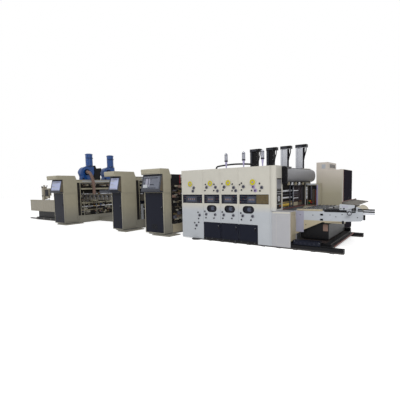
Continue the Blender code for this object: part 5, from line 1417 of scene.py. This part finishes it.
class GLUER_OT_modules(Operator):
    """Folding modules: cross rolls, bearings, motors, cable ducts, guards and coloured fittings"""
    bl_idname = "gluer.modules"
    bl_label = "Folding modules"

    def execute(self, context):
        for key in CONSOLES:
            self.frame_trim(key)
            self.machinery(key)
        self.end_details()
        return {"FINISHED"}

    def frame_trim(self, key):
        name = f"folding_module_{key}"
        # The shade finish darkens towards the foot: painted shade.
        dress(name, "shade")
        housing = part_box(f"console_{key}_housing")
        left, right, near, far = housing[0].x, housing[1].x, housing[1].y, high(name).y
        piece = Piece(f"{name}_panels")
        for face, sign in ((right, 1), (left, -1)):
            frame_block(piece, "X", (near + 0.02, far - 0.02, 0.02, 2.12), 0.012, face, face + sign * 0.003,
                        "cream")
            # Painted shade: a dark strip on each side of the module beside the console, where the inside shows
            # in shade.
            piece.block((face, face + sign * 0.004), (near + 0.004, near + 0.145), (0.37, 1.99), "inner_shade",
                        0.002)
            for y in (near + 0.09, far - 0.09):
                screws(piece, "X", [(y, 0.1 + k * 0.27) for k in range(8)], face, sign, "cap")
            piece.block((face, face + sign * 0.004), (near + 0.30, far - 0.30), (2.035, 2.10), "pale", 0.002)
        frame_block(piece, "Y", (left + 0.05, right - 0.05, 0.15, 2.02), 0.008, far, far + 0.003, "cream")
        slits(piece, (left + 0.16, right - 0.16), (far, far + 0.005), 0.35, 0.03, 0.012, 8, "bezel")
        piece.done("line")

    def machinery(self, key):
        """Rolls across the module, their bearings and belts, and a drive motor."""
        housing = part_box(f"console_{key}_housing")
        left, right, near = housing[0].x, housing[1].x, housing[1].y
        far = high(f"folding_module_{key}").y
        start, end = near + 0.18, far - 0.18
        piece = Piece(f"module_{key}_rolls")
        count = max(3, round((right - left) / 0.16))
        for k in range(count):
            x = left + 0.07 + k * (right - left - 0.14) / (count - 1)
            for z, radius, tint in ((1.42, 0.028, "steel"), (1.12, 0.034, "dull"), (0.80, 0.030, "steel"),
                                    (1.94, 0.020, "dull")):
                shift = 0.012 * math.sin(k * 2.4 + z * 5)
                piece.rod("Y", (x, z + shift), radius, start + STAND, end - STAND, tint, 14)
        for x in (left + 0.05, right - 0.05):
            for y in (start + 0.012, end - 0.012):
                for z in (1.86, 1.68, 1.42, 1.12, 0.98, 0.80, 0.60):
                    piece.rod("X", (y, z), 0.05, x - 0.03, x + 0.03, "black", 16, 0.004)
        for k, y in enumerate((-0.25, 0.10, 0.62, 1.05)):
            if start < y < end:
                tint = ("belt", "black", "dull", "belt")[k]
                piece.block((left + 0.10, right - 0.10), about(y, 0.03), (1.735, 1.745), tint, 0.001)
                piece.block((left + 0.10, right - 0.10), about(y, 0.03), (1.618, 1.626), tint, 0.001)
        # Painted shade: a dark plate along the module's left end, and some dark blocks among the parts there.
        piece.block((left + 0.025, left + 0.035), (start - 0.17, end + 0.17), (0.363, 1.995), "inner_shade", 0.001)
        for k in range(14):
            y = start + 0.06 + k * (end - start - 0.12) / 13
            top = 1.10 + 0.45 * abs(math.sin(k * 1.7))
            tint = ("inner_shade", "belt", "dull", "black")[k % 4]
            piece.block((left + 0.04, left + 0.12), about(y, 0.035), (0.45, top), tint, 0.003)
        motor_x = (left + right) / 2
        piece.turned("Y",
                     (motor_x, 0.52), [(0.90, 0.10), (0.92, 0.13), (1.22, 0.13), (1.24, 0.11), (1.32, 0.11),
                                            (1.33, 0.03)], "blue", 24)
        for k in range(9):
            y = 0.94 + k * 0.03
            piece.ring("Y", (motor_x, 0.52), 0.140, 0.12, y, y + 0.010, "blue", 24)
        piece.block(about(motor_x, 0.10), (0.95, 1.20), (0.362, 0.42), "black")
        piece.done("line")

    def fittings(self, piece, face, span, heights, seed):
        """Cylinders, valves, brackets and leads on a dark plate of painted shade inside a module's end."""
        draw = random.Random(seed)
        (near, far), (foot, top) = span, heights
        # Painted shade: the dark plate behind the fittings.
        piece.block((face - 0.10, face - 0.09), (near, far), (foot, top), "inner_shade", 0.001)
        for _ in range(int((far - near) * (top - foot) * 90)):
            y, z = draw.uniform(near + 0.05, far - 0.05), draw.uniform(foot + 0.04, top - 0.04)
            wide, tall, reach = draw.uniform(0.02, 0.09), draw.uniform(0.015, 0.06), draw.uniform(0.02, 0.08)
            tint = draw.choice(FITTING_FINISHES)
            start, end = face - 0.092, face - 0.092 + reach
            kind = draw.random()
            y = min(max(y, near + wide), far - wide)
            z = min(max(z, foot + tall), top - tall)
            if kind < 0.35:
                piece.block((start, end), about(y, wide), about(z, tall), tint, 0.004)
            elif kind < 0.7:
                piece.rod("Y", (start + tall / 2 + 0.01, z), tall / 2 + 0.006, y - wide, y + wide, tint, 12,
                          0.003)
            else:
                piece.rod("X", (y, z), tall * 0.7 + 0.006, start, end, tint, 14, 0.003)

    def end_details(self):
        """What shows on the modules' ends that face the printing block."""
        face = high("console_1_housing").x
        piece = Piece("module_1_end")
        for heights, seed in (((0.37, 0.98), 3), ((1.02, 1.55), 5), ((1.78, 1.98), 8)):
            self.fittings(piece, face, (-0.62, 1.15), heights, seed)
        for y in (-0.44, 0.27):
            piece.block((face - 0.05, face + 0.004), about(y, 0.012), (0.362, 1.55), "dusk")
        for y, z, tint in ((0.10, 0.80, "brush"), (0.20, 0.85, "blue"), (0.34, 0.80, "brush"),
                           (0.46, 0.85, "blue")):
            piece.block((face - 0.03, face + 0.004), (y, y + 0.10), (z, z + 0.03), tint)
        piece.rod("Y", (face - 0.02, 0.62), 0.016, -0.60, 0.60, "beige", 12)
        for y, radius in ((-0.36, 0.08), (1.05, 0.09)):
            piece.turned("X",
                         (y, 1.30), [(face - 0.05, radius), (face + 0.005, radius), (face + 0.009, 0.05)],
                         "black", 20)
        piece.done("line")
        face = high("console_2_housing").x
        piece = Piece("module_2_end")
        for heights, seed in (((0.37, 0.98), 11), ((1.20, 1.55), 13)):
            self.fittings(piece, face, (-0.58, 1.35), heights, seed)
        piece.block((face - 0.05, face + 0.004), (-0.50, -0.40), (0.362, 1.00), "pale")
        piece.block((face - 0.04, face + 0.006), (-0.58, 0.60), (1.02, 1.16), "navy")
        piece.done("line")
        face = high("console_3_housing").x
        piece = Piece("module_3_end")
        near, far = low("folding_module_3").y + 0.6, -0.58
        piece.block((face + 0.0005, face + 0.010), (near, far), (1.79, 2.139), "black")
        piece.block((face + 0.010, face + 0.014), (far - 0.07, far - 0.005), (1.80, 2.13), "stripe")
        # Painted shade: a dark sheet behind the fittings at the third module's end.
        piece.block((face + 0.0005, face + 0.006), (near, far), (0.36, 1.78), "inner_shade")
        self.fittings(piece, face + 0.098, (near, far), (0.40, 1.76), 17)
        piece.block((face + 0.0005, face + 0.010), (near, far + 0.3), (0.05, 0.35), "beige")
        piece.done("line")


class GLUER_OT_arms(Operator):
    """Folding arms with their belts, belt wheels and hangers, the outlet tie and the floor sill"""
    bl_idname = "gluer.arms"
    bl_label = "Folding arms"

    def execute(self, context):
        dress("outlet_tie", "black")
        dress("base_sill", "shade")
        wide, thick = rolls().belt / 2, rolls().belt_thick
        for name in ("folding_arm_near", "folding_arm_far"):
            dress(name, "dull")
            (left, near, foot), (right, far, top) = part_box(name)
            y = (near + far) / 2
            piece = Piece(f"{name}_belts")
            for z in ((top + STAND, top + thick), (foot - thick, foot - STAND)):
                piece.block((left + 0.02, right - 0.10), about(y, wide), z, "belt", 0.002)
            count = rolls().wheels
            outer = near if y < 0 else far
            sign = -1 if y < 0 else 1
            for k in range(count):
                x = left + 0.15 + k * (right - left - 0.4) / (count - 1)
                if self.blocked(x):
                    continue
                piece.rod("Y", (x, top - 0.075), rolls().wheel, outer + sign * 0.002, outer + sign * 0.032,
                          "knob", 18,
                          0.003)
                piece.rod("Y", (x, top - 0.075), 0.018, outer + sign * 0.032, outer + sign * 0.040, "steel",
                          10)
                piece.block(about(x, 0.012), (outer, outer + sign * 0.020), (foot + 0.01, top - 0.10), "grey",
                            0.002)
            piece.done("line")
        self.bed()
        return {"FINISHED"}

    def blocked(self, x):
        """True where a module's shafts and rests take the room beside the arms."""
        for key in CONSOLES:
            left, right = low(f"console_{key}_housing").x, high(f"console_{key}_housing").x
            if left - 0.05 < x < right + 0.08:
                return True
        return False

    def bed(self):
        """Cross bars and belt rods between the modules and the printing block."""
        piece = Piece("belt_bed")
        starts = [high(f"console_{key}_housing").x for key in "321"]
        ends = [low(name).x for name in ("outlet_tie", "console_3_housing", "console_2_housing")]
        near, far = high("folding_arm_near").y, low("folding_arm_far").y
        for start, end in zip(starts, ends):
            count = max(2, round((end - start) / 0.30))
            for k in range(count):
                x = start + 0.12 + k * (end - start - 0.24) / max(1, count - 1)
                if low("fan_hose").x - 0.1 < x < high("fan_hose").x + 0.1:
                    continue
                piece.rod("Y", (x, BED_HEIGHT), 0.020, near - 0.03, far + 0.03, "steel", 12)
                for y in (-0.10, 0.08):
                    piece.rod("Y", (x, BED_HEIGHT), 0.045, y, y + 0.07, "knob", 16)
        piece.done("line")


class GLUER_OT_fans(Operator):
    """Two blue suction fans with flanges, bolts and ribs, their stand and the ribbed hose"""
    bl_idname = "gluer.fans"
    bl_label = "Suction fans"

    def execute(self, context):
        for i in (1, 2):
            name = f"suction_fan_{i}"
            dress(name, "blue")
            (left, near, foot), (right, _, top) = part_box(name)
            plane = right - 0.02
            y = near + 0.35 - 0.03
            centre = (y, foot + 0.385)
            piece = Piece(f"{name}_fittings")
            piece.ring("X", centre, 0.150, 0.10, plane + 0.0005, plane + 0.012, "navy", 32)
            screws(piece, "X", [(centre[0] + 0.215 * math.cos(k), centre[1] + 0.215 * math.sin(k))
                                for k in (0.3, 1.3, 2.4, 3.5, 4.5, 5.6)], plane, 1)
            pipe_y = y + 0.42 - 0.175
            x = plane - 0.13
            for z in (foot + 0.70, top - 0.24):
                piece.ring("Z", (x, pipe_y), 0.178, 0.172, z, z + 0.02, "navy", 28)
            for spot in ring_spots((x, pipe_y), 0.186, 8):
                piece.turned("Z", spot, [(foot + 0.712, 0.010), (foot + 0.722, 0.010)], "steel", 6)
            piece.block((left + 0.02, left + 0.08), about(y, 0.10), (foot + 0.0005, foot + 0.10), "black")
            for k in range(7):
                piece.ring("X", centre, 0.176, 0.16, left + 0.06 + k * 0.03, left + 0.070 + k * 0.03, "blue",
                           24)
            piece.block((plane, plane + 0.004), (near + 0.06, near + 0.14), (foot + 0.02, foot + 0.10),
                        "navy")
            piece.done("line")
        dress("fan_stand", "black")
        self.hose()
        return {"FINISHED"}

    def hose(self):
        """The ribbed hose along the same route as its solid."""
        housing = high("console_1_housing").x
        start_x, end_x, y, z = housing - 0.08 + 0.0003, housing + 0.12, -0.15, 2.14 + 0.0003 + 0.385
        radius, nozzle_y, nozzle_top = 0.08, 0.07, 1.36
        drop = radius * 2
        route = [(start_x, y, z), (start_x + drop / 2, y, z), (end_x, y + drop * 0.1, z - drop * 0.3),
                 (end_x + drop * 0.4, y + drop * 0.5, z - drop * 1.4),
                 (end_x + drop * 0.3, y + drop, z - drop * 3),
                 (end_x, nozzle_y, nozzle_top + drop * 2), (end_x, nozzle_y, nozzle_top + drop / 2),
                 (end_x, nozzle_y, nozzle_top)]
        piece = Piece("fan_hose_looks")
        piece.corrugated(route, radius, 0.007, 0.030, "duct", 20)
        piece.done("line", ["fan_hose"])
        clamps = Piece("hose_clamps")
        clamps.ring("Z", (end_x, nozzle_y), 0.088, 0.074, nozzle_top + 0.01, nozzle_top + 0.04, "steel", 28)
        clamps.ring("X", (y, z), 0.088, 0.074, start_x + 0.01, start_x + 0.04, "steel", 28)
        clamps.done("line")


class GLUER_OT_ejector(Operator):
    """The counter ejector: base, tray with rollers and side ribs, drive head with knobs"""
    bl_idname = "gluer.ejector"
    bl_label = "Counter ejector"

    def execute(self, context):
        dress("ejector_base", "black")
        dress("ejector_tray", "tray")
        dress("ejector_head", "tray")
        (left, near, foot), (right, far, top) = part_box("ejector_tray")
        piece = Piece("tray_trim")
        for side, sign in ((near, -1), (far, 1)):
            for z in (foot + 0.03, top - 0.05):
                piece.block((left + 0.01, right - 0.01), (side, side + sign * 0.010), (z, z + 0.03), "tray",
                            0.003)
            for k in range(11):
                x = left + 0.12 + k * (right - left - 0.24) / 10
                piece.block(about(x, 0.012), (side, side + sign * 0.007), (foot + 0.065, top - 0.055), "tray",
                            0.003)
            screws(piece, "Y", [(left + 0.06 + k * 0.24, top - 0.10) for k in range(13)], side, sign, "cap")
        count = rolls().tray_rolls
        for k in range(count):
            x = left + (right - left) * (k + 0.5) / count
            if k % 2:
                piece.rod("Y", (x, foot + 0.34), 0.030, near + 0.0505, far - 0.0505, "steel", 14)
        piece.block((left + 0.02, right - 0.02), (near + 0.0505, near + 0.056), (top - 0.12, top - 0.07),
                    "black", 0.002)
        piece.done("line")
        (left, near, foot), (right, far, top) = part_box("ejector_head")
        head = Piece("ejector_head_trim")
        head.block((left + 0.28, right - 0.06), (near + 0.036, near + 0.0505), (foot + 0.20, top - 0.24),
                   "black")
        head.block((left + 0.30, right - 0.10), (near + 0.030, near + 0.036), (foot + 0.30, foot + 0.42),
                   "navy", 0.003)
        for k in range(5):
            x = left + 0.32 + k * 0.07
            head.block((x, x + 0.03), (near + 0.026, near + 0.036), (foot + 0.24, foot + 0.27), "bezel",
                       0.002)
        for x, z, radius in ((left + 0.09, top - 0.10, 0.050), (left + 0.10, foot + 0.22, 0.036),
                             (right - 0.05, top - 0.05, 0.030)):
            head.turned("Y", (x, z), [(near + STAND, radius), (near - 0.02, radius), (near - 0.03,
                                                                                      radius * 0.8),
                                      (near - 0.05, radius * 0.4)], "knob", 20)
        head.block((left + 0.30, right - 0.08), (near + 0.02, near + 0.12), (foot - 0.12, foot + 0.038),
                   "bright")
        head.block((left + 0.36, right - 0.16), (near + 0.012, near + 0.02), (foot - 0.10, foot - 0.02),
                   "lilac", 0.003)
        screws(head, "Y", [(left + 0.06, foot + k * 0.09) for k in range(1, 5)], near, -1, "cap")
        head.done("line")
        base = Piece("ejector_wheels")
        near = low("ejector_base").y
        for k in range(4):
            x = -13.1 + k * 0.75
            base.rod("Y", (x, 0.075), 0.060, near - 0.002, near + 0.03, "dull", 18, 0.004)
        base.block((-13.2, -10.7), (near - 0.006, near - 0.001), (0.02, 0.03), "dull", 0.001)
        base.done("line")
        return {"FINISHED"}


# Camera, light and floor

FLOOR_GLOW = 0.66
LAMP_SIZE = 9.0
FLOOR_HALF = 60


class GLUER_OT_stage(Operator):
    """Camera at the photograph's place, soft lamps, a pale floor and a white surrounding"""
    bl_idname = "gluer.stage"
    bl_label = "Stage"

    def execute(self, context):
        self.camera(context.scene)
        self.floor()
        self.world(context.scene)
        self.lamp("key_light", (9.0, -13.0, 11.0), (-2.0, 0.0, 1.0), view().key)
        self.lamp("fill_light", (-16.0, -13.0, 8.0), (-7.0, 0.0, 1.0), view().fill)
        context.scene.view_settings.view_transform = "Standard"
        return {"FINISHED"}

    def camera(self, scene):
        yaw, pitch, roll = view().turn
        ahead = Vector((-math.sin(yaw) * math.cos(pitch), math.cos(yaw) * math.cos(pitch), -math.sin(pitch)))
        flat = Vector((math.cos(yaw), math.sin(yaw), 0))
        above = flat.cross(ahead)
        right = math.cos(roll) * flat + math.sin(roll) * above
        upward = -math.sin(roll) * flat + math.cos(roll) * above
        data = bpy.data.cameras.new("camera")
        data.sensor_width = 36
        data.lens = 36 * view().focal
        data.shift_x, data.shift_y = view().shift
        data.clip_end = 200
        made = bpy.data.objects.new("camera", data)
        made.matrix_world = Matrix.Translation(view().place) @ Matrix((right, upward,
                                                                       -ahead)).transposed().to_4x4()
        scene.collection.objects.link(made)
        scene.camera = made

    def lamp(self, name, place, target, strength):
        data = bpy.data.lights.new(name, "AREA")
        data.shape = "DISK"
        data.size = LAMP_SIZE
        aim = Vector(target) - Vector(place)
        data.energy = strength * math.pi * aim.length_squared
        made = bpy.data.objects.new(name, data)
        made.location = place
        made.rotation_euler = aim.to_track_quat("-Z", "Y").to_euler()
        bpy.context.scene.collection.objects.link(made)

    def white_ray(self, nodes):
        """1 where the camera, or a mirror or glass, sees the stage."""
        path = nodes.add("ShaderNodeLightPath")
        first = nodes.add("ShaderNodeMath", operation="MAXIMUM")
        nodes.link(path.outputs["Is Camera Ray"], first.inputs[0])
        nodes.link(path.outputs["Is Glossy Ray"], first.inputs[1])
        both = nodes.add("ShaderNodeMath", operation="MAXIMUM")
        nodes.link(first.outputs["Value"], both.inputs[0])
        nodes.link(path.outputs["Is Transmission Ray"], both.inputs[1])
        return both.outputs["Value"]

    def floor(self):
        """A wide pale floor; it turns white where the camera looks, and keeps the shadow."""
        mesh = bmesh.new()
        bmesh.ops.create_grid(mesh, x_segments=8, y_segments=8, size=FLOOR_HALF)
        data = bpy.data.meshes.new("floor")
        mesh.to_mesh(data)
        mesh.free()
        made = bpy.data.objects.new("floor", data)
        bpy.context.scene.collection.objects.link(made)
        material = bpy.data.materials.new("floor")
        material.use_nodes = True
        nodes = Nodes(material.node_tree)
        shader = material.node_tree.nodes["Principled BSDF"]
        place = nodes.add("ShaderNodeTexCoord").outputs["Object"]
        nodes.link(mixed(nodes, noise(nodes, place, 0.8), (0.80, 0.80, 0.80, 1), (0.84, 0.84, 0.84, 1)),
                   shader.inputs["Base Color"])
        shader.inputs["Roughness"].default_value = 0.8
        glow = nodes.add("ShaderNodeMath", operation="MULTIPLY")
        nodes.link(self.white_ray(nodes), glow.inputs[0])
        glow.inputs[1].default_value = FLOOR_GLOW
        shader.inputs["Emission Color"].default_value = (1, 1, 1, 1)
        nodes.link(glow.outputs["Value"], shader.inputs["Emission Strength"])
        data.materials.append(material)

    def world(self, scene):
        world = bpy.data.worlds.new("surrounding")
        scene.world = world
        world.use_nodes = True
        nodes = Nodes(world.node_tree)
        back = world.node_tree.nodes["Background"]
        back.inputs["Color"].default_value = (1, 1, 1, 1)
        strength = nodes.add("ShaderNodeMix", data_type="FLOAT")
        nodes.link(self.white_ray(nodes), strength.inputs["Factor"])
        strength.inputs["A"].default_value = view().sky
        strength.inputs["B"].default_value = 1.0
        nodes.link(strength.outputs["Result"], back.inputs["Strength"])


OPERATORS = (
    GLUER_OT_stage, GLUER_OT_rails, GLUER_OT_block_front, GLUER_OT_block_doors, GLUER_OT_end_wall,
    GLUER_OT_block_back, GLUER_OT_block_top, GLUER_OT_mouth, GLUER_OT_feed_box, GLUER_OT_infeed,
    GLUER_OT_carriage, GLUER_OT_cabinet, GLUER_OT_consoles, GLUER_OT_modules, GLUER_OT_arms,
    GLUER_OT_fans, GLUER_OT_ejector,
)


class GLUER_PT_pieces(Panel):
    """Lists the pieces of the folder gluer and their settings"""
    bl_label = "Folder gluer"
    bl_idname = "GLUER_PT_pieces"
    bl_space_type = "VIEW_3D"
    bl_region_type = "UI"
    bl_category = "Gluer"

    def draw(self, context):
        for operator in OPERATORS:
            self.layout.operator(operator.bl_idname)
        for label, group in (("Panels", panels()), ("Rolls", rolls()), ("View", view()),
                             ("Finishes", settings())):
            box = self.layout.box()
            box.label(text=label)
            for name in group.bl_rna.properties.keys():
                if name not in ("rna_type", "name"):
                    box.prop(group, name)


GROUPS = {"gluer_finishes": GluerFinishes, "gluer_panels": GluerPanels, "gluer_rolls": GluerRolls,
          "gluer_view": GluerView}


def register():
    for item in (*GROUPS.values(), *OPERATORS, GLUER_PT_pieces):
        bpy.utils.register_class(item)
    for name, group in GROUPS.items():
        setattr(bpy.types.Scene, name, PointerProperty(type=group))


def unregister():
    for name in GROUPS:
        delattr(bpy.types.Scene, name)
    for item in (GLUER_PT_pieces, *reversed(OPERATORS), *GROUPS.values()):
        bpy.utils.unregister_class(item)


def main():
    register()
    for operator in OPERATORS:
        section, name = operator.bl_idname.split(".")
        if getattr(getattr(bpy.ops, section), name)() != {"FINISHED"}:
            raise RuntimeError(f"{operator.bl_label} did not finish")


if __name__ == "__main__":
    main()
